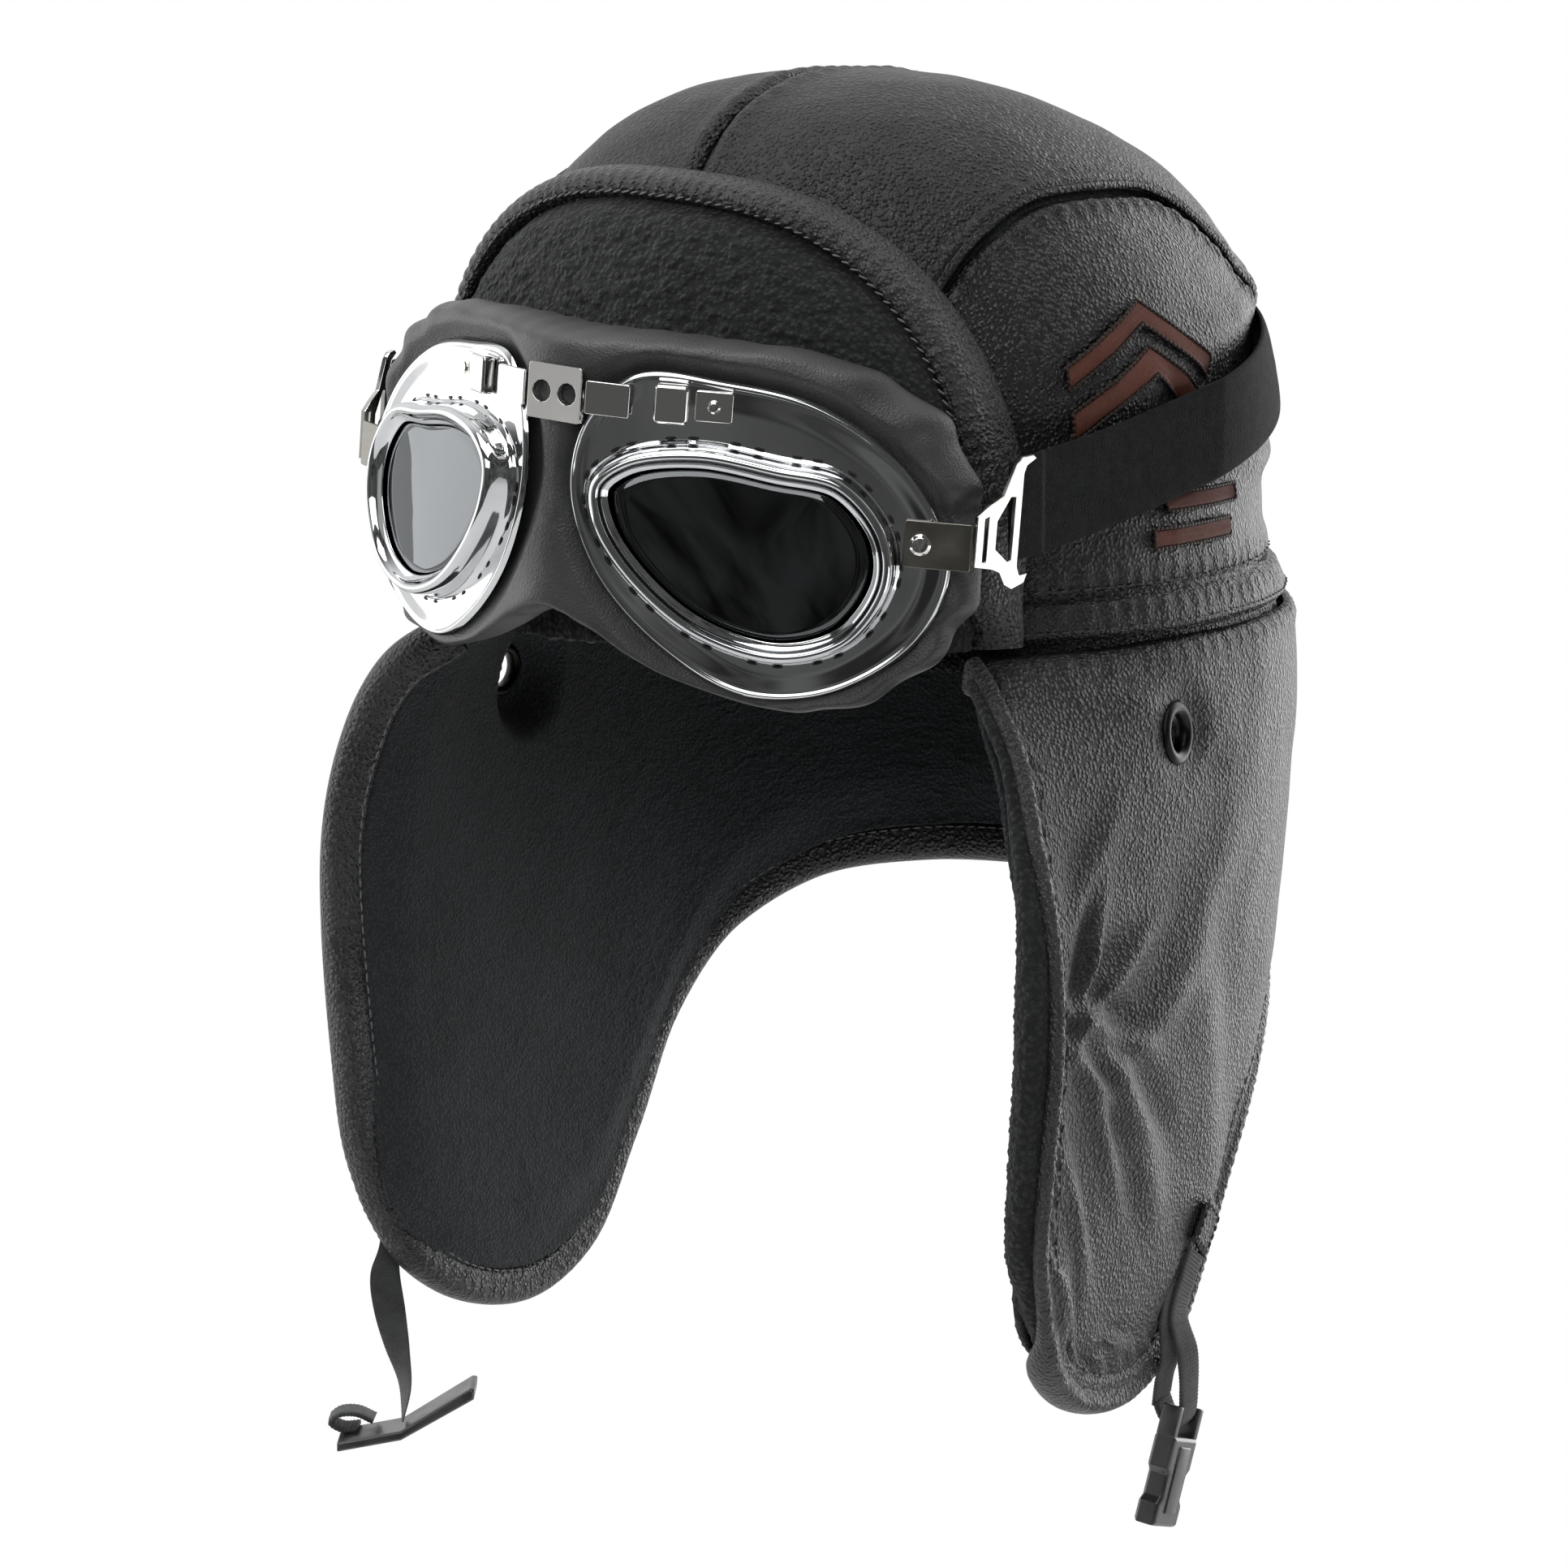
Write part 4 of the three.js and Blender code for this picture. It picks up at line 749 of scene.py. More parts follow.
fleece = fleece_material("curled fleece", (0.005, 0.0053, 0.0055), (0.036, 0.038, 0.039), 750.0)
brushed_fleece = fleece_material("brushed fleece", (0.016, 0.019, 0.0207), (0.044, 0.050, 0.054), 1100.0)
bm = sheet(230, 90, lining_point, (0, 5, 600), closed=True)
skin(piece("dome_lining", bm, brushed_fleece, "fleece", "crown_lining"), CROWN_FLEECE)

# ---------------------------------------------------------------------------------------------
# Ear flaps and neck flap: one skirt of the same leather over padding, from the brow seam to the hem.
# It is gathered a little along its topstitching, so short folds run out of the seams.

FLAP_TOP = -0.7
STITCH_IN = 9.4
FRONT_ANGLE = math.radians(-45.5)
SKIRT_DEPTH = 170
HEM = spline([
    (0, 110, -84), (42, 103, -85), (67, 85, -89), (81, 62, -101), (88, 41, -124), (89, 22, -152),
    (89, 3, -176), (90, -21, -185), (92, -48, -180), (95, -67, -167), (96.8, -75.5, -153),
])
FRONT_EDGE = spline([
    (75, -69, FLAP_TOP), (85.8, -77, -9), (93.4, -79.7, -20), (98.8, -82.2, -35), (104, -82, -58),
    (104.8, -82, -82), (103, -82.4, -108), (100, -81, -136), (96.8, -75.5, -153),
])
FOLDS = [
    # y and z of the middle, length, width, height of the fold in mm, and its slant in degrees
    (-60, -71, 17, 3.2, 1.7, 62), (-48, -76, 20, 3.6, 1.6, 28), (-52, -87, 22, 3.2, 1.5, -22),
    (-40, -105, 27, 4.5, 1.6, -42), (-52, -112, 24, 4.2, 1.5, -58), (-30, -90, 26, 6.0, 1.0, 30),
    (-58, -98, 15, 2.8, 1.2, -35), (-26, -128, 24, 6.5, 1.1, -55), (-62, -130, 18, 3.5, 1.2, -62),
    (-10, -70, 30, 8.0, 0.9, 52), (-44, -168, 11, 1.7, 0.9, 8), (-34, -166, 10, 1.6, 0.8, -20),
    (-56, -50, 16, 4.0, 0.9, 45), (5, -110, 34, 9.0, 0.9, -70), (-62, -152, 13, 2.6, 0.9, -70),
]
EYELET_Y, EYELET_Z = -17, -23
EYELET_TILT = 0.16
LEATHER_HOLE = 5.4


def half_skirt(side, down):
    """The mid surface of one half, from the centre back (0) to the front edge (1) and from seam to hem."""
    angle = np.pi / 2 + (FRONT_ANGLE - np.pi / 2) * side
    top = crown_hit(np.array([0, CROWN_Y, 0.0]), towards(angle))
    top[:, 2] = FLAP_TOP
    front_top, toe = FRONT_EDGE[0], HEM[-1]
    top += (front_top - top) * (side**6)[:, None]
    middle = top + (along(HEM, side) - top) * down[:, None]
    bow = along(FRONT_EDGE, down) - (front_top + (toe - front_top) * down[:, None])
    middle += bow * (side**5)[:, None]
    middle[:, 1] += 3 * np.sin(np.pi * down) * (1 - side)
    middle[:, 0] += 7 * np.sin(np.pi * np.sqrt(down)) * side * (1 - side**4)
    return middle


def skirt(side, down):
    middle = half_skirt(np.abs(side), down)
    middle[:, 0] *= np.where(side < 0, -1, 1)
    return middle


def skirt_normal(side, down):
    step = 0.004
    across = skirt(np.minimum(side + step, 1), down) - skirt(np.maximum(side - step, -1), down)
    drop = skirt(side, np.minimum(down + step, 1)) - skirt(side, np.maximum(down - step, 0))
    return unit(np.cross(across, drop))


def half_girth(down):
    """The way round from the centre back to a front edge, in mm."""
    return 225 + 65 * down


def skirt_drop(side, down):
    """The length of the skirt from its seam to its hem, in mm."""
    return np.linalg.norm(skirt(side, 0 * down) - skirt(side, 0 * down + 1), axis=1)


def edge_distance(side, down):
    """How far a place on the skirt is from its front edge, its hem and the nearer of them, in mm."""
    front, hem = (1 - np.abs(side)) * half_girth(down), (1 - down) * skirt_drop(side, down)
    return front, hem, -6 * np.log(np.exp(-front / 6) + np.exp(-hem / 6))


def flap_relief(side, down, points):
    """Height of the padded leather over the skirt's mid surface, in mm."""
    x, y, z = points.T
    front, hem, inner = edge_distance(side, down)
    body = np.maximum(0, inner - STITCH_IN + 1)
    relief = 1.6 * (1 - np.exp(-body / 9)) - 0.9
    relief += 0.7 * noise_mm(points, 34, 7) * smooth(body, 0, 20)
    relief += 0.3 * noise_mm(points, 12, 8) * smooth(body, 0, 8)
    seam_wave = np.sin(2 * np.pi * (z + y) / 8.5 + 3 * noise_mm(points, 22, 9))
    relief += 0.45 * seam_wave * np.exp(-(((body - 4) / 4) ** 2))
    for at_y, at_z, length, width, height, slant in FOLDS:
        dy, dz = y - at_y, z - at_z
        c, s = math.cos(math.radians(slant)), math.sin(math.radians(slant))
        lengthwise, crosswise = (dy * c + dz * s) / length, (dz * c - dy * s) / width
        ridge = np.exp(-(lengthwise**2) - crosswise**2) - 0.55 * np.exp(
            -(lengthwise**2) - (crosswise - 1.5) ** 2)
        relief += height * ridge * np.where(x > 0, 1.45, 0.7)
    relief -= 1.2 * np.exp(-((hem / 1.6) ** 2))
    below = down * SKIRT_DEPTH
    relief -= 1.6 * np.exp(-((below / 1.6) ** 2)) - 0.6 * np.exp(-(((below - 5) / 3) ** 2))
    gathers = np.sin(2 * np.pi * np.arctan2(y, x) * MEAN_RADIUS / 6.6)
    relief += 0.3 * gathers * np.exp(-((below / 6) ** 2)) * smooth(below, 0.5, 2)
    relief -= 0.5 * np.exp(-(((inner - STITCH_IN - 0.3) / 1.1) ** 2))
    relief -= 1.1 * np.exp(-(((front - STITCH_IN + 1.6) / 1.5) ** 2)) * smooth(hem, 8, 30)
    around = np.hypot(y - EYELET_Y, z - EYELET_Z)
    near_eyelet = np.exp(-((around / 11) ** 4))
    tilted = -0.9 - EYELET_TILT * (y - EYELET_Y)
    relief += (tilted - relief) * near_eyelet
    fold = np.exp(-(((y - EYELET_Y + 15) / 7) ** 2) - ((z - EYELET_Z - 8) / 3) ** 2)
    dent = np.exp(-(((y - EYELET_Y - 15) / 7) ** 2) - ((z - EYELET_Z + 9) / 3) ** 2)
    return relief + 0.9 * fold - 0.7 * dent


def skirt_columns(u):
    """Shares of the way round, closer together towards the two front edges."""
    side = 2 * u - 1
    return np.sign(side) * (0.7 * np.abs(side) + 0.3 * (1 - (1 - np.abs(side)) ** 2.4))


def skirt_rows(v):
    return v + 0.06 * np.sin(2 * np.pi * v)


def flap_point(u, v):
    side, down = skirt_columns(u), skirt_rows(v)
    side, down = side * 0.965, down * (1 - 7.2 / 190) + 0 * side
    points = skirt(side, down)
    return points + skirt_normal(side, down) * flap_relief(side, down, points)[:, None]


def cut_round(bm, radius):
    """Opens the sheet where the eyelets go through."""
    gone = [vert for vert in bm.verts
            if math.hypot(vert.co.y / MM - EYELET_Y, vert.co.z / MM - EYELET_Z) < radius]
    bmesh.ops.delete(bm, geom=gone, context="VERTS")
    return bm


bm = cut_round(sheet(360, 130, flap_point, (0, 10, -60)), LEATHER_HOLE)
flap_surface = BVHTree.FromBMesh(bm)
flap = skin(piece("flap_leather", bm, leather, "leather", "ear_neck_flap"), LEATHER)

# ---------------------------------------------------------------------------------------------
# Brow seam allowance: the turned-in edges of crown and skirt, of the same leather skived thin.
# They are sewn together behind the brow seam and close it to the light.

ALLOWANCE_IN = 3.4


def allowance_place(u, v):
    angle = np.radians(-50 + 280 * u)
    height = 5 * (2 * v - 1) + FLAP_TOP / 2
    origins = np.stack([0 * angle, CROWN_Y + 0 * angle, height], axis=-1)
    return crown_hit(origins, towards(angle), 0.2 * np.sin(34 * angle) - ALLOWANCE_IN)


bm = sheet(180, 6, allowance_place, (0, 5, 0))
skin(piece("brow_seam_allowance", bm, leather, "leather"), 0.8)

# ---------------------------------------------------------------------------------------------
# Hem: the leather is turned over the edge of the padding and topstitched through, 9 mm in. Along the
# near flap's front edge only a narrow ridge is turned, and the pile of the lining stands past it.

TOPSTITCH_IN, TOPSTITCH_PITCH = 9.6, 3.0
FACING_STITCH_IN, FACING_STITCH_DEPTH = 8.6, 8.5
HEM_SECTION = spline([
    # mm in from the edge, and height over the skirt's mid surface
    (11.2, -1.6), (9.4, -0.75), (7.6, -0.15), (5.6, -0.45), (3.9, 0.5), (2.2, 0.75), (0.7, -0.6),
    (-0.2, -3), (-0.1, -5.8), (1, -7.9), (3, -8.8), (6, -8.7), (8.3, -8.2), (9.6, -7.2), (10.2, -5.4),
    (11.2, -1.6),
], steps=5)
RIDGE_SECTION = spline([
    (11.2, -1.6), (9.4, -0.9), (7.6, -0.95), (5.6, -1.15), (3.9, -0.2), (2.4, 0.75), (0.9, 0.55),
    (0.1, -0.5), (0.1, -1.6), (0.8, -2.6), (2.2, -3.1), (4.4, -3.2), (7, -3.2), (9, -3), (10.2, -2.6),
    (11.2, -1.6),
], steps=5)


def edge_line(count=1500):
    """The skirt's edge from the left front top round the hem to the right: points, normals, inward."""
    top_to_toe, toe_to_back = line_length(FRONT_EDGE), line_length(HEM)
    share = np.linspace(0, 1, count // 2)
    first = np.minimum(1, share * (top_to_toe + toe_to_back) / top_to_toe)
    second = np.clip((share * (top_to_toe + toe_to_back) - top_to_toe) / toe_to_back, 0, 1)
    side, down = np.where(first < 1, 1, 1 - second), first
    side, down = np.append(side, -side[::-1][1:]), np.append(down, down[::-1][1:])
    points, normals = skirt(side, down), skirt_normal(side, down)
    for _ in range(12):
        normals[1:-1] = (normals[:-2] + 2 * normals[1:-1] + normals[2:]) / 4
        points[1:-1] = (points[:-2] + 2 * points[1:-1] + points[2:]) / 4
    normals = unit(normals)
    ahead = unit(np.gradient(points, axis=0))
    inward = unit(np.cross(normals, ahead))
    centre = np.array([0, 20, -60.0])
    flips = np.sign((inward * (centre - points)).sum(axis=1))
    inward *= np.sign(flips.sum())
    return points, normals, inward


edge_points, edge_normals, edge_inward = edge_line()
edge_length = line_length(edge_points)
toe_share = line_length(FRONT_EDGE) / edge_length


def edge_at(u):
    """Interpolated point, normal and inward direction of the skirt's edge."""
    return [by_share(part, u) for part in (edge_points, edge_normals, edge_inward)]


def turned_narrow(u):
    """1 along the near flap's front edge, where the hem is only a ridge."""
    return smooth(u, toe_share * 1.12, toe_share * 0.98)


def hem_place(u, v):
    points, normals, inward = edge_at(u)
    narrow = turned_narrow(u)
    whole, slim = by_share(HEM_SECTION, v).T, by_share(RIDGE_SECTION, v).T
    depth, height = whole + (slim - whole) * narrow
    run = u * edge_length
    gathers = np.sin(2 * np.pi * run / 2.9 + 2 * np.sin(run / 9))
    at_ridge = np.exp(-(((depth - 2.4) / 1.8) ** 2)) * (height > -1.5)
    height = height + 0.2 * gathers * at_ridge + 0.25 * np.sin(run / 13) * (depth < 8)
    facing = np.exp(-(((depth - 4.5) / 3) ** 2)) * (height < -6)
    height = height - 0.18 * np.sin(2 * np.pi * run / 4.3) * facing
    return points + inward * depth[:, None] + normals * height[:, None]


# A lighter copy of the leather for the hem and the cuff binding: painted highlight, so these edges read
# bright as if catching the light.
edge_highlight_leather = leather_material(
    "edge leather with painted highlight", (0.012, 0.012, 0.0125), (0.052, 0.052, 0.053), 0.34, 0.18, 0.0006
)
bm = sheet(760, 44, hem_place, closed=True)
hem = piece("flap_hem", bm, edge_highlight_leather, "leather")
u = np.linspace(0.004, 0.996, 900)
points, normals, inward = edge_at(u)
pale_thread = thread_material("grey thread", (0.10, 0.10, 0.105), (0.26, 0.26, 0.27))
line = points + inward * TOPSTITCH_IN - normals * 0.45
for place, point, normal in zip(line, line.copy(), normals):
    hit = flap_surface.ray_cast(Vector(point + normal * 5) * MM, Vector(-normal), 0.012)[0]
    if hit:
        place[:] = np.array(hit) / MM + normal * 0.12
piece("hem_topstitch", stitches(line, normals, pitch=TOPSTITCH_PITCH), pale_thread, "leather")
line = points + inward * FACING_STITCH_IN - normals * FACING_STITCH_DEPTH
past_toe = u > toe_share * 1.15
bm = stitches(line[past_toe], -normals[past_toe], pitch=TOPSTITCH_PITCH)
piece("facing_topstitch", bm, pale_thread, "leather")

# ---------------------------------------------------------------------------------------------
# Flap lining: the same skirt in short black fleece, quilted into the leather facing, dished round the
# eyelets. On the near flap its pile rolls out past the front edge.

FLAP_FLEECE = 7
LINING_TOP, LINING_FROM_HEM, LINING_FROM_FRONT = 0.008, 9.6, 9.8
LINING_HOLE = 4.6


def lining_relief(side, down, points):
    front, hem, inner = edge_distance(side, down)
    from_eyelet = np.hypot(points[:, 1] - EYELET_Y, points[:, 2] - EYELET_Z)
    depth = LEATHER + 0.9 + FLAP_FLEECE - 1.5 + 2.6 * smooth(inner, 9, 26)
    depth += 0.7 * noise_mm(points, 26, 11) + 0.55 * curls(points, 1.9, 5)
    pressed = 3.0 + EYELET_TILT * (points[:, 1] - EYELET_Y)
    return -(pressed + (depth - pressed) * smooth(from_eyelet, 6.8, 19))


def flap_lining_point(u, v):
    side, down = skirt_columns(u), v
    down = LINING_TOP + (1 - LINING_FROM_HEM / skirt_drop(side, down) - LINING_TOP) * down
    side = side * (1 - LINING_FROM_FRONT / half_girth(down))
    points = skirt(side, down)
    return points + skirt_normal(side, down) * lining_relief(side, down, points)[:, None]


bm = cut_round(sheet(340, 135, flap_lining_point, (0, 10, -60)), LINING_HOLE)
bmesh.ops.reverse_faces(bm, faces=bm.faces)
obj = skin(piece("skirt_lining", bm, brushed_fleece, "fleece", "flap_lining"), 1.6)


def roll_place(u, v):
    """A roll of pile along the near flap's front edge, slimmer towards its ends."""
    run = u * (toe_share * 1.1) + 0.004
    points, normals, inward = edge_at(run)
    turn = 2 * np.pi * v
    slim = (0.28 + 0.55 * smooth(u, 0.12, 0.5)) * (0.3 + 0.7 * smooth(u, 0.98, 0.86))
    depth = 4.0 - 4.9 * np.cos(turn) * slim
    height = -2.4 + 4.7 * (np.sin(turn) - 1) * slim
    place = points + inward * depth[:, None] + normals * height[:, None]
    out = -inward * np.cos(turn)[:, None] + normals * np.sin(turn)[:, None]
    return place + out * (0.75 * curls(place, 1.7, 8) * slim)[:, None]


piece("front_pile_roll", close_ends(sheet(330, 56, roll_place, closed=True)), fleece, "fleece")

# ---------------------------------------------------------------------------------------------
# Eyelets: dark lacquered metal, rolled over the leather outside and clinched on the fleece inside.
# One goes through each flap over the ear, a little tilted in the dished padding.

EYELET_SECTION = spline([
    # radius, and height over the skirt's mid surface, in mm
    (4.1, -1.9), (4.5, -3.1), (5.3, -3.6), (6.4, -3.5), (6.9, -3.0), (5.2, -2.8), (5, -1.2), (6.2, -0.9),
    (7.5, -0.8), (7.1, 0), (6.2, 0.35), (5.2, 0.15), (4.4, -0.6), (4.1, -1.9),
], steps=5)


def nearest_on_skirt(y, z):
    """The share round and down the skirt whose point has this y and z."""
    best = np.array([0.7, 0.5])
    for reach in (0.3, 0.08, 0.02, 0.005, 0.0012):
        side, down = np.meshgrid(
            np.clip(best[0] + np.linspace(-reach, reach, 13), 0, 1),
            np.clip(best[1] + 1.7 * np.linspace(-reach, reach, 13), 0, 1))
        side, down = side.ravel(), down.ravel()
        points = skirt(side, down)
        nearest = np.argmin(np.hypot(points[:, 1] - y, points[:, 2] - z))
        best = np.array([side[nearest], down[nearest]])
    return best


def metal_material(name, colour, tint, rough, scratch, peel=0.25):
    """Plated metal: mirror bright, with faint polishing haze, fine scratches and dulled patches."""
    material, tree, place = new_material(name)
    haze = noise_at(tree, place, 90.0, 5.0)
    brushed = add_node(tree, "ShaderNodeMapping", {"Vector": place, "Scale": (260.0, 260.0, 5200.0)})
    lines = noise_at(tree, brushed.outputs[0], 1.0, 4.0)
    wear = scaled_sum(tree, lines, scratch, haze)
    return surfaced(material, {
        "Base Color": ramp(tree, haze, (0.3, colour), (0.8, tint)),
        "Metallic": 1.0,
        "Roughness": ramp(tree, wear, (0.35, rough), (1.1, rough * 2.2 + 0.02)),
        "Normal": bump(tree, lines, 0.00004, peel * scratch),
    })


lacquer = metal_material(
    "black lacquered brass", (0.012, 0.0118, 0.0112), (0.026, 0.0255, 0.0245), 0.22, 0.4
)
eyelet_side, eyelet_down = nearest_on_skirt(EYELET_Y, EYELET_Z)
for side, sign in (("left", 1), ("right", -1)):
    place = np.array([sign * eyelet_side]), np.array([eyelet_down])
    centre, normal = skirt(*place)[0], skirt_normal(*place)[0]
    normal = unit(normal + np.array([0, EYELET_TILT, 0]))
    first = unit(np.cross(normal, [0, 0, 1.0]))
    second = np.cross(normal, first)

    def eyelet_place(u, v):
        radius, height = by_share(EYELET_SECTION, v).T[:, :, None]
        turn = 2 * np.pi * u[:, None]
        return centre + (first * np.cos(turn) + second * np.sin(turn)) * radius + normal * height

    bm = sheet(72, 64, eyelet_place, closed=True)
    piece(f"eyelet_ring_{side}", bm, lacquer, "gunmetal", f"eyelet_{side}")

# ---------------------------------------------------------------------------------------------
# Turned-up front cuff: the peak folded up against the crown, black curled fleece to the front, its
# edge bound in pebbled leather 6 mm wide and sewn through with short slanting stitches.

CUFF_HALF_WIDTH, CUFF_SHOULDER, CUFF_RISE, CUFF_POWER, CUFF_LEAN = 79, 20, 86, 2.6, 0.07
CUFF_RIM, RIM_LENGTH = 5.6, 330
RIM_SECTION = spline([
    # mm in from the edge, and height over the crown
    (9.5, 0.9), (4, 0.7), (0.8, 0.9), (-0.5, 2.6), (-0.7, 5), (-0.1, 7.4), (1.2, 9), (3, 9.5), (4.7, 8.8),
    (5.8, 7.2), (6.6, 5), (9.5, 3.4),
], steps=6)


def cuff_edge(u, inset):
    """The cuff's outline seen from the front, x and z in mm, inset by some mm."""
    turn = np.linspace(0, np.pi, 400)
    x = np.sign(np.cos(turn)) * np.abs(np.cos(turn)) ** (2 / CUFF_POWER)
    z = np.abs(np.sin(turn)) ** (2 / CUFF_POWER)
    outline = []
    for more in (0.0, 1.0):
        half, rise = CUFF_HALF_WIDTH - more, CUFF_RISE - more
        arch = np.stack([half * x, CUFF_SHOULDER + rise * z - CUFF_LEAN * half * x, 0 * x], axis=-1)
        ends = [np.array([[sign * half, low, 0.0]]) for sign, low in ((1, 0.3), (-1, 0.3))]
        outline.append(np.vstack([ends[0], arch, ends[1]]))
    lengths = np.append(0, np.cumsum(np.linalg.norm(np.diff(outline[0], axis=0), axis=1)))
    at = u * lengths[-1]
    edge, inner = (np.stack([np.interp(at, lengths, c) for c in o.T], axis=-1) for o in outline)
    return edge[:, :2] + (inner - edge)[:, :2] * inset[:, None]


def crown_front(places, offset):
    """Points over the crown's front at these x and z."""
    origins = np.column_stack([places[:, 0], CROWN_Y + 0 * places[:, 0], places[:, 1]])
    return crown_hit(origins, np.tile([0, -1.0, 0], (len(places), 1)), offset)


def rim_place(u, v):
    depth, height = by_share(RIM_SECTION, v).T
    run = u * RIM_LENGTH
    height = height * (0.3 + 0.7 * smooth(u, 0, 0.045) * smooth(u, 1, 0.955))
    height = height + (height > 6) * (0.25 * np.sin(2 * np.pi * run / 3.7 + 2 * np.sin(run / 11)))
    return crown_front(cuff_edge(u, depth), height + 0.4 * np.sin(run / 17) * (height > 6))


bm = sheet(420, 44, rim_place, (0, 5, 40))
# The binding takes the lighter edge leather, whose brightness is painted highlight.
piece("cuff_binding", bm, edge_highlight_leather, "leather", "front_cuff_leather")
u = np.linspace(0.02, 0.98, 400)
line = crown_front(cuff_edge(u, 4.9 + 0 * u), 9.0)
bm = stitches(line, line - [0, CROWN_Y, 0], pitch=2.6, length=2.3, thick=0.5, lean=0.5)
piece("cuff_stitches", bm, pale_thread, "leather")


def cuff_face(u, v):
    half = CUFF_HALF_WIDTH - CUFF_RIM
    x = half * np.sin(np.pi / 2 * (2 * u - 1))
    edge_share = np.minimum(1, np.abs(x) / half)
    top = CUFF_SHOULDER - CUFF_LEAN * x + (CUFF_RISE - CUFF_RIM) * (1 - edge_share**CUFF_POWER) ** (
        1 / CUFF_POWER)
    places = np.stack([x, 0.4 + (top - 0.4) * v], axis=-1)
    flat = crown_front(places, 8.0)
    from_edge = np.minimum((1 - v) * (top - 0.4), (half - np.abs(x)) * 1.4)
    full = 3.6 + 5.2 * (1 - np.exp(-np.maximum(0, from_edge) / 3.2))
    relief = full + 0.9 * curls(flat, 2.3, 2) + 0.5 * noise_mm(flat, 4.2, 12) + 0.5 * noise_mm(flat, 24, 13)
    return crown_front(places, relief)


bm = sheet(270, 170, cuff_face, (0, 5, 40))
obj = skin(piece("cuff_fleece", bm, fleece, "fleece", "front_cuff_fleece"), 2)

# ---------------------------------------------------------------------------------------------
# Goggle cushion: one soft pad of smooth black vinyl over foam behind both lenses, sewn round its rim,
# so it puffs out beyond the metal plates and gathers a little at its outer ends.

GOGGLE_ROLL, GOGGLE_X, GOGGLE_Z = math.radians(5), -2.4, 30.4
LENS_TURN, LENS_X, LENS_Y = math.radians(29.5), 43, -106
CUP_INSET, CUP_BACK, CUP_DEPTH = 3.9, -13, 20
FLANGE_OUTLINE = spline([
    (-30, 35), (-10, 35), (12, 31), (32, 18), (42.5, -1), (37, -19), (19, -32.5), (-1, -35), (-20, -26),
    (-36, -10), (-43, 9), (-40, 25),
], closed=True)
BEZEL_OUTLINE = spline([
    (-31, 17.5), (-15, 20.5), (3, 18.5), (18, 16), (28.5, 5), (30, -7), (22, -20.5), (7, -26), (-12, -22),
    (-27, -11.5), (-36.5, 1), (-38, 11),
], closed=True)
PAD_HALF = [(0, 43), (30, 43), (56, 40), (74, 28), (83, 4), (80, -19), (66, -34), (46, -38), (25, -32),
            (11, -24), (0, -20)]
PAD_OUTLINE = spline(PAD_HALF + [(-x, z) for x, z in PAD_HALF[-2:0:-1]], closed=True)
PAD_SECTION = spline([
    # share of the outline, and share of the way from back to front
    (0.004, 0), (0.35, 0), (0.7, 0), (0.9, 0.02), (0.97, 0.14), (1, 0.45), (0.985, 0.8), (0.95, 0.95),
    (0.9, 1), (0.6, 1), (0.3, 1), (0.004, 1),
], steps=12)


def from_goggles(x, y, z):
    """Hat coordinates of a point given in the goggles' own, which are rolled a little."""
    c, s = math.cos(GOGGLE_ROLL), math.sin(GOGGLE_ROLL)
    return np.stack([x * c + z * s + GOGGLE_X, y, z * c - x * s + GOGGLE_Z], axis=-1)


def outline_inward(outline, share):
    ahead = unit(by_share(outline, (share + 0.002) % 1) - by_share(outline, (share - 0.002) % 1))
    return np.stack([ahead[:, 1], -ahead[:, 0]], axis=-1)


def past_flange(out, up):
    """How far a place in the lens plane is outside the metal plate's edge, in mm."""
    shares = np.linspace(0, 1, 240, endpoint=False)
    edge, inward = by_share(FLANGE_OUTLINE, shares), outline_inward(FLANGE_OUTLINE, shares)
    gaps = np.stack([out, up], axis=-1)[:, None] - edge[None]
    nearest = np.argmin((gaps**2).sum(axis=2), axis=1)
    gap = gaps[np.arange(len(out)), nearest]
    return -np.sign((gap * inward[nearest]).sum(axis=1)) * np.linalg.norm(gap, axis=1)


def pad_place(u, v):
    scale, forward = by_share(PAD_SECTION, v).T
    edge = by_share(PAD_OUTLINE, u)
    x, z = edge.T * scale
    front = LENS_Y + math.tan(LENS_TURN) * (np.hypot(x, 9) - LENS_X) + 0.5
    world = from_goggles(x, 0 * x, z)
    cuff = crown_front(np.stack([world[:, 0], np.maximum(world[:, 2], 0)], axis=-1), 11.6)[:, 1]
    back = np.minimum(cuff, front + 26 - 14 * np.minimum(1, np.abs(x) / 83))
    y = back + (front - back) * forward
    beyond = past_flange((np.abs(x) - LENS_X) / math.cos(LENS_TURN), z)
    angle = np.arctan2(z, x) * 60
    gathers = np.sin(angle / 1.7 + 2.5 * noise_mm(world, 16, 20)) * smooth(scale, 0.86, 0.97)
    ends = smooth(np.abs(x), 45, 78)
    soft = smooth(forward, 0.5, 1)
    puff = 2.6 * smooth(beyond, 0.2, 5) - 0.5 * smooth(beyond, 0.2, -1)
    puff += 0.45 * noise_mm(world, 15, 21) * smooth(beyond, 0, 3)
    y = y - soft * puff
    swell = 1 + gathers * (0.004 + 0.009 * ends) + 0.006 * noise_mm(world, 18, 22)
    return from_goggles(x * swell, y, z * swell)


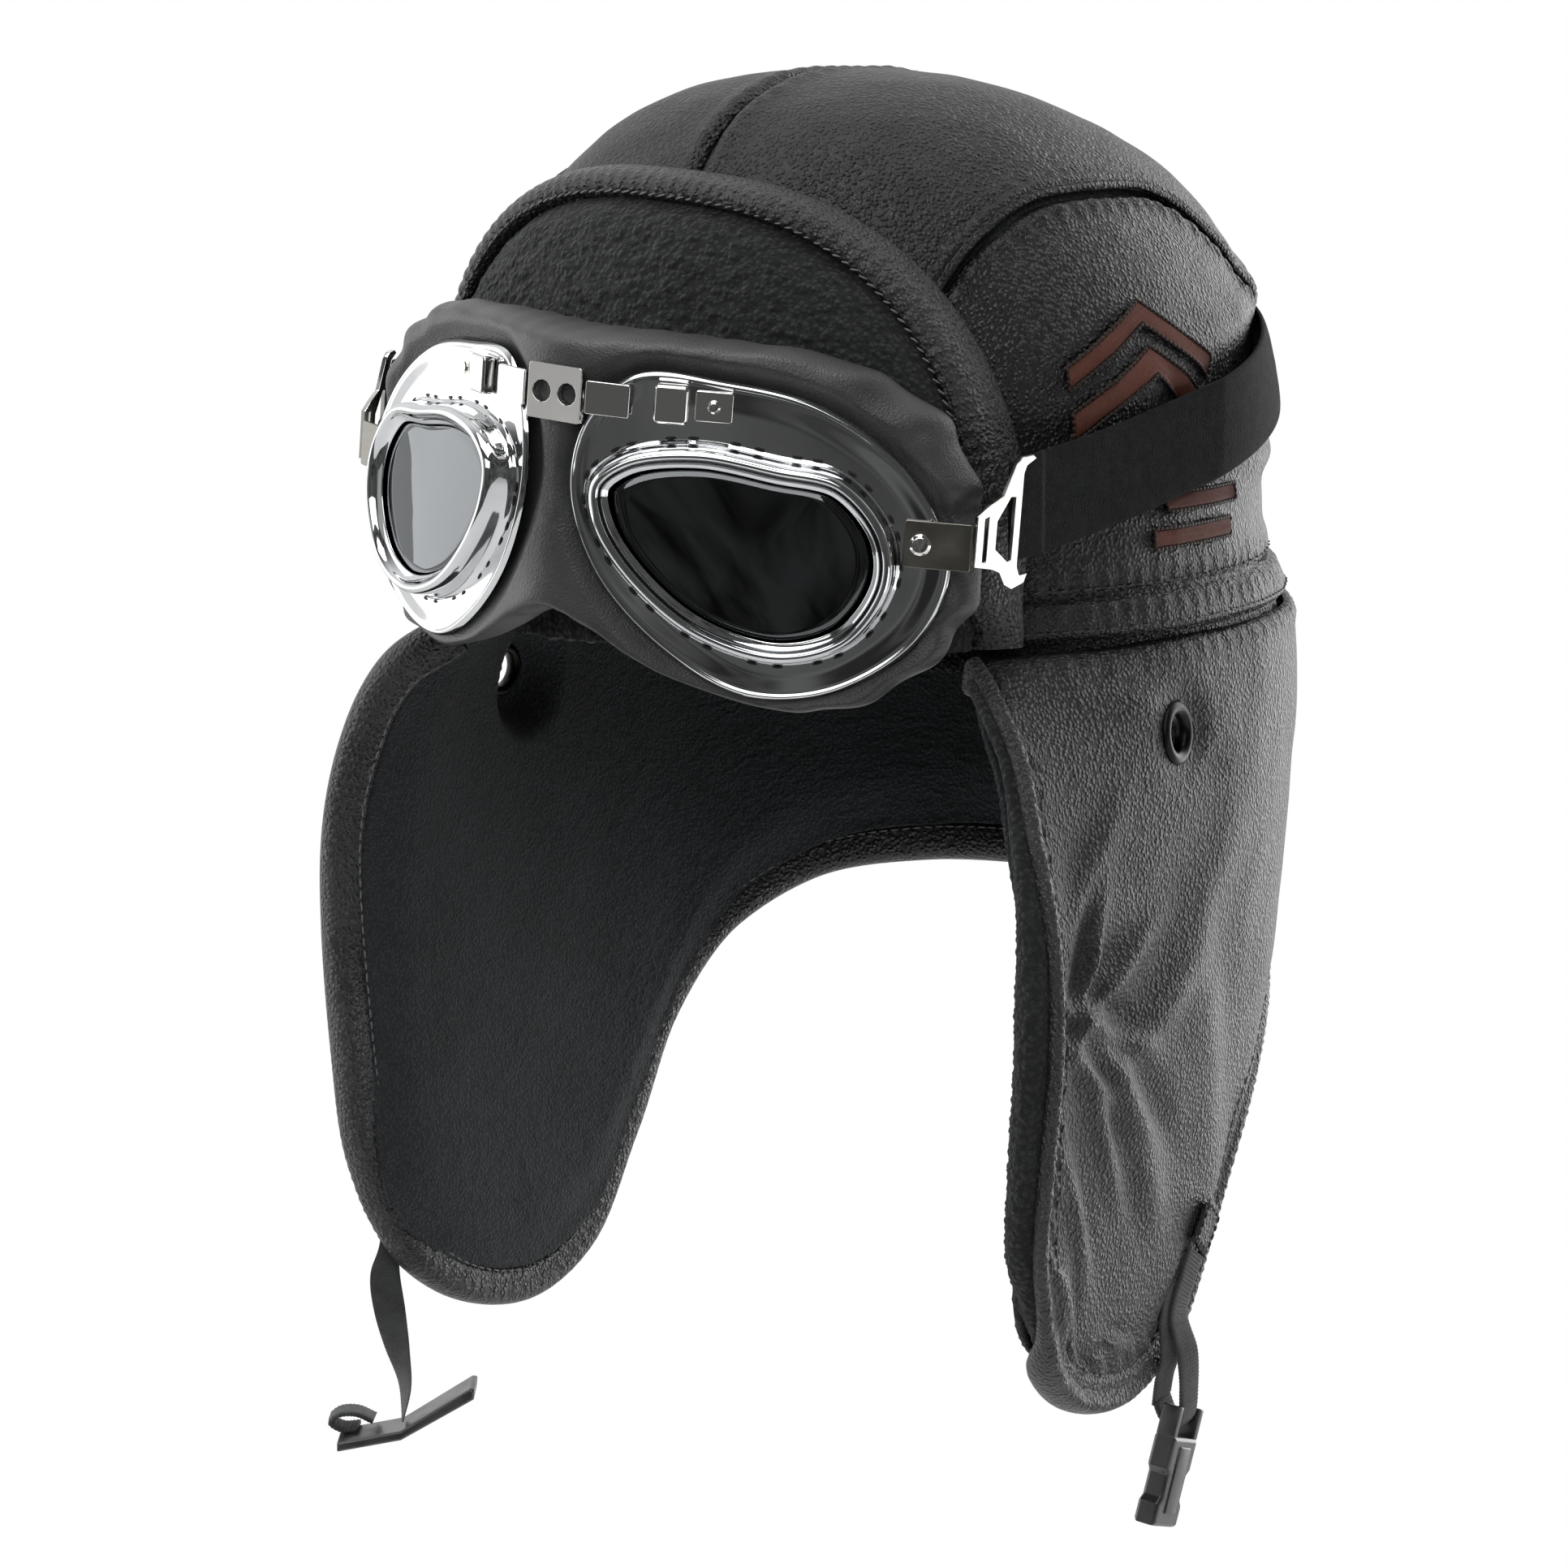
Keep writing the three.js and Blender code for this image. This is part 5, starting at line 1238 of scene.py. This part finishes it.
def pad_material():
    """Smooth matte vinyl: faint fine grain, soft creases painted a little darker in their hollows (painted
    shade), a dull sheen on its rounded rim.
    """
    material, tree, place = new_material("cushion vinyl")
    grain = add_node(tree, "ShaderNodeTexVoronoi", {"Vector": place, "Scale": 1900.0}).outputs["Distance"]
    creases = noise_at(tree, place, 95.0, 5.0)
    height = scaled_sum(tree, creases, 3.5, grain)
    # Painted shade: the colour follows the crease relief, darker in its hollows.
    return surfaced(material, {
        "Base Color": ramp(tree, creases, (0.3, (0.036, 0.0367, 0.0375)), (0.75, (0.056, 0.057, 0.058))),
        "Roughness": ramp(tree, grain, (0.0, 0.36), (0.6, 0.48)),
        "Specular IOR Level": 0.6,
        "Normal": bump(tree, height, 0.00012, 0.8),
    })


def lens_point(sign, out, up, forward):
    """Hat coordinates of a point in the plane of a lens: outward, up, and forward out of the face."""
    c, s = math.cos(LENS_TURN), math.sin(LENS_TURN)
    return from_goggles(sign * (LENS_X + out * c + forward * s), LENS_Y + out * s - forward * c, up)


vinyl = pad_material()
bm = close_ends(sheet(380, 132, pad_place, closed=True))
pad = piece("cushion", bm, vinyl, "padding", "goggle_pad")
cutters = []
for sign in (1, -1):
    def cup_place(u, v):
        edge = by_share(BEZEL_OUTLINE, u) + outline_inward(BEZEL_OUTLINE, u) * CUP_INSET
        return lens_point(sign, edge[:, 0], edge[:, 1], CUP_BACK + CUP_DEPTH * v)

    cutters.append(add_object("cup", mesh_of("cup", close_ends(sheet(96, 1, cup_place, closed=True)))))
    hollow = pad.modifiers.new("eye cup", "BOOLEAN")
    hollow.operation = "DIFFERENCE"
    hollow.object = cutters[-1]
bpy.context.view_layer.update()
hollowed = bpy.data.meshes.new_from_object(pad.evaluated_get(bpy.context.evaluated_depsgraph_get()))
pad.modifiers.clear()
pad.data = hollowed
pad.data.set_sharp_from_angle(angle=math.radians(50))
for cutter in cutters:
    bpy.data.objects.remove(cutter)

# ---------------------------------------------------------------------------------------------
# Lens plates, bezels and glasses: a pressed and chromed plate per eye, its slots round the foot of its
# raised bezel painted as near black capsules (painted shade), and smoked glass held inside the bezel's
# sloping inner wall.

GLASS_INSET = 3.7
SLOT_COUNT, SLOT_OUT, SLOT_LIFT = 30, 1.55, 1.45
SLOT_HALF_LENGTH, SLOT_HALF_WIDTH, SLOT_HALF_DEPTH = 1.35, 0.42, 0.22
BEZEL_SECTION = spline([
    # mm in from the bezel's outline, and forward of the plate's back
    (3.6, 1.4), (-1.2, 1.35), (-0.9, 1.9), (-0.35, 2.6), (-0.1, 4.2), (0.05, 6), (0.45, 7.6), (1.15, 8.4),
    (1.9, 8.5), (2.5, 8.0), (3.0, 7.0), (3.8, 6.2), (4.5, 5.75), (4.6, 5.5), (3.9, 4.6), (3.6, 1.4),
], steps=5)


def flange_place(sign, u, v):
    """The plate: its face from the outer edge in to the bezel, then its back out again."""
    face = v < 0.6
    share = np.where(face, v / 0.6, (1 - v) / 0.4)
    outer = by_share(FLANGE_OUTLINE, u)
    inner = by_share(BEZEL_OUTLINE, u)
    inner = inner + outline_inward(BEZEL_OUTLINE, u) * 2.5
    flat = outer + (inner - outer) * share[:, None]
    from_edge = share * np.linalg.norm(inner - outer, axis=1)
    lip = 0.5 * np.exp(-(((from_edge - 0.9) / 0.45) ** 2)) + 0.35 * smooth(from_edge, 1, 7)
    forward = np.where(face, 1.15 + lip - 0.8 * np.exp(-(from_edge / 0.35)), 0.02)
    return lens_point(sign, flat[:, 0], flat[:, 1], forward)


def bezel_place(sign, u, v):
    inset, forward = by_share(BEZEL_SECTION, v).T
    flat = by_share(BEZEL_OUTLINE, u) + outline_inward(BEZEL_OUTLINE, u) * inset[:, None]
    return lens_point(sign, flat[:, 0], flat[:, 1], forward)


def glass_place(sign, u, v):
    """A slightly domed glass: its face from the middle out, then its back to the middle."""
    reach = 1 - np.abs(2 * v - 1)
    edge = by_share(BEZEL_OUTLINE, u) + outline_inward(BEZEL_OUTLINE, u) * GLASS_INSET
    middle = np.array([-3.0, -2.0])
    flat = middle + (edge - middle) * reach[:, None]
    dome = 1.1 * (1 - reach**2)
    return lens_point(sign, flat[:, 0], flat[:, 1], np.where(v < 0.5, 5.3, 3.5) + dome)


def glass_material():
    """Smoked glass with a mirror-like coat: mostly reflects, and lets a little dark light through."""
    material, tree, place = new_material("smoked glass")
    smears = noise_at(tree, place, 60.0, 4.0)
    tint = ramp(tree, smears, (0.3, (0.16, 0.17, 0.175)), (0.8, (0.20, 0.21, 0.215)))
    clear = add_node(tree, "ShaderNodeBsdfTransparent", {"Color": tint})
    mirror = add_node(tree, "ShaderNodeBsdfGlossy", {"Color": (0.70, 0.73, 0.75, 1),
                      "Roughness": ramp(tree, smears, (0.4, 0.015), (0.8, 0.04))})
    fresnel = add_node(tree, "ShaderNodeFresnel", {"IOR": 2.3})
    mix = add_node(tree, "ShaderNodeMixShader", {0: fresnel.outputs[0], 1: clear.outputs[0],
                   2: mirror.outputs[0]})
    add_node(tree, "ShaderNodeOutputMaterial", {"Surface": mix.outputs[0]})
    return material


def slot_shade_material():
    """Painted shade for a punched slot: near black where its hollow lies in shade, a little dusty."""
    material, tree, place = new_material("painted slot shade")
    dust = noise_at(tree, place, 700.0)
    return surfaced(material, {
        "Base Color": ramp(tree, dust, (0.3, 0.002), (0.8, 0.008)),
        "Roughness": ramp(tree, dust, (0.3, 0.5), (0.8, 0.9)),
    })


chrome = metal_material("chrome", (0.60, 0.61, 0.62), (0.70, 0.71, 0.72), 0.035, 0.12, 0.15)
glass = glass_material()
slot_shades = slot_shade_material()
for side, sign in (("left", 1), ("right", -1)):
    bm = sheet(300, 60, lambda u, v, s=sign: flange_place(s, u, v), closed=True)
    piece(f"lens_plate_{side}", bm, chrome, "chrome", f"goggle_flange_{side}")
    bm = sheet(300, 60, lambda u, v, s=sign: bezel_place(s, u, v), closed=True)
    piece(f"lens_bezel_{side}", bm, chrome, "chrome", f"goggle_bezel_{side}")
    bm = sheet(120, 24, lambda u, v, s=sign: glass_place(s, u, v), closed=True)
    piece(f"lens_glass_{side}", bm, glass, "glass", f"goggle_lens_{side}")
    # The slots are near black capsules on the plate's face, not holes: painted shade standing for their
    # hollows.
    bm = bmesh.new()
    for number in range(SLOT_COUNT):
        share = np.array([(number + 0.35 + 0.28 * (number % 2)) / SLOT_COUNT])
        at, inward = by_share(BEZEL_OUTLINE, share)[0], outline_inward(BEZEL_OUTLINE, share)[0]
        ahead = np.array([-inward[1], inward[0]])
        at = at - inward * SLOT_OUT
        middle = lens_point(sign, *at, SLOT_LIFT)
        run = lens_point(sign, *(at + ahead * SLOT_HALF_LENGTH), SLOT_LIFT) - middle
        across = lens_point(sign, *(at + inward * SLOT_HALF_WIDTH), SLOT_LIFT) - middle
        up = unit(np.cross(run, across)) * SLOT_HALF_DEPTH
        matrix = laid_out(run, across, up, middle)
        bmesh.ops.create_uvsphere(bm, u_segments=12, v_segments=6, radius=1, matrix=matrix)
    piece(f"lens_slot_shades_{side}", bm, slot_shades, "chrome")

# ---------------------------------------------------------------------------------------------
# Bridge over the nose: riveted nickel plates, loops and a short plate chain with a pierced slide,
# so the two lens plates can be set closer or wider. Edges are tumbled round and bright.

nickel = metal_material("nickel", (0.74, 0.73, 0.71), (0.83, 0.82, 0.79), 0.07, 0.22, 0.3)
for name in ("bridge_link", "bridge_slide", "bridge_strap"):
    hard_piece(f"nose_{name[7:]}", name, 0.28, nickel, "nickel")
for side in ("left", "right"):
    hard_piece(f"rivet_plate_{side}", f"bridge_plate_{side}", 0.25, nickel, "nickel")
    hard_piece(f"plate_rivet_{side}", f"bridge_rivet_{side}", 0.15, nickel, "nickel")
    hard_piece(f"nose_loop_{side}", f"bridge_loop_{side}", 0.2, nickel, "nickel")

# ---------------------------------------------------------------------------------------------
# Strap tabs and hook buckles: a dark riveted tab on each lens plate, and a stamped bright buckle
# hooked on it, whose bar takes the fold of the elastic strap.

gunmetal = metal_material("gunmetal", (0.17, 0.165, 0.145), (0.24, 0.235, 0.21), 0.2, 0.5)
for side in ("left", "right"):
    hard_piece(f"tab_{side}", f"strap_tab_{side}", 0.25, gunmetal, "gunmetal")
    hard_piece(f"tab_rivet_{side}", f"strap_tab_rivet_{side}", 0.2, nickel, "gunmetal")
    hard_piece(f"buckle_{side}", f"hook_buckle_{side}", 0.3, nickel, "nickel")

# ---------------------------------------------------------------------------------------------
# Goggle strap: flat woven elastic, 23 mm wide, doubled over the buckle's bar at each end and sewn
# down, stretched round the crown so the leather swells a little above and below it.

ELASTIC_WIDTH, ELASTIC_THICK, STRAP_LIFT = 23, 1.8, 0.55
STRAP_LENGTH, WEFT_PITCH = 474, 1.3
STRAP_ENDS = ((85, -73.2), (-84.9, -72))
STRAP_TOUCH = 95.5


def strap_radius(angle, z):
    """How far out the strap lies: on the crown, or straight from the buckle until it meets it."""
    origins = np.column_stack([0 * z, 0 * z + CROWN_Y, z])
    directions = towards(angle)
    on_crown = np.linalg.norm(crown_hit(origins, directions, STRAP_LIFT) - origins, axis=1)
    near = np.cos(angle) > 0
    start_x = np.where(near, STRAP_ENDS[0][0], STRAP_ENDS[1][0])
    start_y = np.where(near, STRAP_ENDS[0][1], STRAP_ENDS[1][1])
    run_x, run_y = np.where(near, STRAP_TOUCH, -STRAP_TOUCH) - start_x, CROWN_Y - start_y
    area = run_y * start_x - run_x * (start_y - CROWN_Y)
    straight = area / (run_y * directions[:, 0] - run_x * directions[:, 1])
    at_side = crown_hit(origins, np.sign(directions[:, :1]) * [1.0, 0, 0], STRAP_LIFT)[:, 0]
    past_side = np.where(near, angle, np.pi - angle)
    leaving = (STRAP_TOUCH - np.abs(at_side)) * np.exp(-((past_side / 0.42) ** 2))
    gap = np.where(past_side > 0, leaving, straight - on_crown)
    return on_crown + 0.5 * (gap + np.sqrt(gap**2 + 0.5)) - 0.2


def strap_place(u, v):
    first = math.atan2(STRAP_ENDS[0][1] - CROWN_Y, STRAP_ENDS[0][0])
    last = math.atan2(STRAP_ENDS[1][1] - CROWN_Y, STRAP_ENDS[1][0]) + 2 * math.pi
    angle = first + (last - first) * u
    across, out = by_share(ribbon_section(ELASTIC_WIDTH, ELASTIC_THICK, 44), v).T
    from_end = np.minimum(u, 1 - u) * STRAP_LENGTH
    doubled = 0.9 * smooth(from_end, 9.4, 8.2)
    weft = 0.03 * np.sin(u * STRAP_LENGTH * 2 * np.pi / WEFT_PITCH) * (np.abs(out) > 0.3)
    out = out + (out > 0) * doubled + weft
    middle = strap_height(100 * np.cos(angle), CROWN_Y + STRAP_BACK * np.sin(angle))
    z = middle + across * (1 - 0.03 * smooth(from_end, 10, 0))
    radius = strap_radius(angle, z) + ELASTIC_THICK / 2 + out
    return np.stack([radius * np.cos(angle), CROWN_Y + radius * np.sin(angle), z], axis=-1)


def elastic_material():
    """Black woven elastic: fine lengthwise cords, slightly shiny rubbery yarn, lint in the weave."""
    material, tree, place = new_material("woven elastic")
    cords = add_node(tree, "ShaderNodeTexWave", {"Vector": place, "Scale": 210.0, "Distortion": 0.4,
                     "Detail": 2.0}, wave_type="BANDS", bands_direction="Z").outputs["Fac"]
    yarn = add_node(tree, "ShaderNodeTexVoronoi", {"Vector": place, "Scale": 2400.0}).outputs["Distance"]
    lint = noise_at(tree, place, 300.0, 5.0)
    height = scaled_sum(tree, cords, 0.6, yarn)
    return surfaced(material, {
        "Base Color": ramp(tree, lint, (0.3, (0.005, 0.0055, 0.006)), (0.8, (0.012, 0.0128, 0.0134))),
        "Roughness": ramp(tree, yarn, (0.0, 0.62), (0.6, 0.85)),
        "Specular IOR Level": 0.12,
        "Normal": bump(tree, height, 0.00022, 0.7),
    })


bm = close_ends(sheet(900, 44, strap_place, closed=True))
piece("elastic_strap", bm, elastic_material(), "elastic", "goggle_strap")

# ---------------------------------------------------------------------------------------------
# Chin tabs: small leather tabs with a round top, one on the outside of each flap near its tip.
# Each is stitched round its edge and holds the end of the webbing.

LEFT_TAB = spline([(13, -142), (9, -147), (5, -152)])
RIGHT_TAB = spline([(-60, -136), (-61.3, -142), (-62.5, -148)])
TAB_HALF_WIDTH = 6
flap_skin = bmesh.new()
flap_skin.from_mesh(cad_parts["ear_neck_flap"].data)
flap_skin = BVHTree.FromBMesh(flap_skin)


def over_flap(sign, y, z, lift):
    """Points lifted off the outside of a flap at these y and z."""
    places = []
    for at_y, at_z in zip(y, z):
        start = Vector((sign * 130, at_y, at_z)) * MM
        hit = flap_skin.ray_cast(start, Vector((-sign, 0, 0)))[0]
        places.append((hit.x / MM if hit else sign * 90, at_y, at_z))
    return np.array(places) + np.array([sign * lift, 0, 0])


def tab_place(sign, route, u, v):
    """A tab with a round top end, from under which the webbing comes out below."""
    turn = unit(route[-1] - route[0])
    top = np.clip(1 - u / 0.35, 0, 1)
    across = (v - 0.5) * 2 * TAB_HALF_WIDTH * np.sqrt(1 - 0.97 * top**2) * (1 - 0.1 * u)
    y, z = along(np.column_stack([route, 0 * route[:, 0]]), u)[:, :2].T
    edge = smooth(np.abs(v - 0.5), 0.5, 0.42) * smooth(u, 0, 0.08) * smooth(u, 1, 0.95)
    places = over_flap(sign, y - turn[1] * across, z + turn[0] * across, 1.9)
    places[:, 0] += sign * 0.9 * edge
    return places


for side, sign, route in (("left", 1, LEFT_TAB), ("right", -1, RIGHT_TAB)):
    bm = sheet(30, 18, lambda u, v, s=sign, r=route: tab_place(s, r, u, v), (0, 0, -150))
    skin(piece(f"sewn_tab_{side}", bm, leather, "leather", f"chin_tab_{side}"), 2)
    u, v = np.linspace(0.18, 0.9, 40), np.linspace(0.16, 0.84, 40)
    box = np.vstack([
        tab_place(sign, route, u, 0.12 + 0 * u), tab_place(sign, route, 0.9 + 0 * v, v),
        tab_place(sign, route, u[::-1], 0.88 + 0 * u), tab_place(sign, route, 0.18 + 0 * v, v[::-1])])
    box[:, 0] += sign * 0.1
    piece(f"tab_stitches_{side}", stitches(box, 0 * box + [sign, 0, 0], pitch=2.2, length=1.8),
          black_thread, "leather")

# ---------------------------------------------------------------------------------------------
# Studio: a pale floor well below the hat, a bright white backdrop behind it that wraps light round
# its edges, a dim room hung with drapes on the camera's side, and large soft lights to the right, left
# and above.

FLOOR_Z = -0.5


def floor_material():
    """Pale seamless paper that shows almost white to the camera, with a trace of fibre."""
    material, tree, place = new_material("paper floor")
    fibre = noise_at(tree, place, 30.0, 5.0)
    paper = add_node(tree, "ShaderNodeBsdfDiffuse", {
        "Color": ramp(tree, fibre, (0.3, 0.80), (0.8, 0.84))})
    glow = add_node(tree, "ShaderNodeEmission", {"Color": (1, 1, 1, 1), "Strength": 1.0})
    seen = add_node(tree, "ShaderNodeLightPath").outputs["Is Camera Ray"]
    mix = add_node(tree, "ShaderNodeMixShader", {0: seen, 1: paper.outputs[0], 2: glow.outputs[0]})
    add_node(tree, "ShaderNodeOutputMaterial", {"Surface": mix.outputs[0]})
    return material


bm = bmesh.new()
bmesh.ops.create_grid(bm, x_segments=2, y_segments=2, size=1.7)
bmesh.ops.translate(bm, verts=bm.verts, vec=(0.25, 1.1, FLOOR_Z))
floor = add_object("floor", mesh_of("floor", bm))
floor.data.materials.append(floor_material())

world = bpy.data.worlds.new("studio")
world.use_nodes = True
tree = world.node_tree
tree.nodes.clear()
direction = add_node(tree, "ShaderNodeTexCoord").outputs["Generated"]
away = add_node(tree, "ShaderNodeVectorMath", {0: direction, 1: (-0.54, 0.83, 0.0)}, operation="DOT_PRODUCT")
toward = add_node(tree, "ShaderNodeMapRange", {"Value": away.outputs["Value"], "From Min": -1.0,
                  "From Max": 1.0})
room = ramp(tree, toward.outputs[0], (0.0, 0.07), (0.42, 0.08), (0.56, 0.28), (0.74, 0.95))
upright = add_node(tree, "ShaderNodeMapping", {"Vector": direction, "Scale": (1.0, 1.0, 0.06)})
drapes = ramp(tree, noise_at(tree, upright.outputs[0], 15.0, 3.0), (0.38, 0.35), (0.62, 1.9))
drapes = mixed(tree, ramp(tree, toward.outputs[0], (0.3, 1.0), (0.5, 0.0)), (1, 1, 1, 1), drapes)
room = mixed(tree, 1.0, room, drapes, "MULTIPLY")
behind = add_node(tree, "ShaderNodeBackground", {"Color": room, "Strength": 1.0})
backdrop = add_node(tree, "ShaderNodeBackground", {"Color": (1, 1, 1, 1), "Strength": 1.0})
seen = add_node(tree, "ShaderNodeLightPath").outputs["Is Camera Ray"]
mix = add_node(tree, "ShaderNodeMixShader", {0: seen, 1: behind.outputs[0], 2: backdrop.outputs[0]})
add_node(tree, "ShaderNodeOutputWorld", {"Surface": mix.outputs[0]})
bpy.context.scene.world = world
bpy.context.scene.view_settings.view_transform = "Standard"

for name, place, aim, width, height, watts in (
    ("right softbox", (0.30, 1.08, 0.0), (0.05, 0, -0.05), 0.8, 1.3, 9),
    ("low right softbox", (1.03, 0.08, -0.33), (0.1, -0.07, -0.03), 0.6, 0.34, 1.15),
    ("left softbox", (-1.08, -0.42, 0.15), (0, 0, -0.03), 1.1, 1.2, 6.5),
    ("front left softbox", (-0.6, -1.1, 0.2), (0, 0, -0.05), 0.6, 1.2, 0.8),
    ("front softbox", (0.5, -1.3, 0.8), (0, 0, 0.0), 1.2, 0.8, 7),
    ("top softbox", (0.0, -0.35, 1.2), (0, 0, 0.02), 1.0, 0.7, 9),
):
    lamp = bpy.data.lights.new(name, "AREA")
    lamp.shape = "RECTANGLE"
    lamp.size, lamp.size_y, lamp.energy = width, height, watts
    softbox = add_object(name, lamp)
    softbox.location = place
    softbox.rotation_euler = (Vector(aim) - Vector(place)).to_track_quat("-Z", "Y").to_euler()
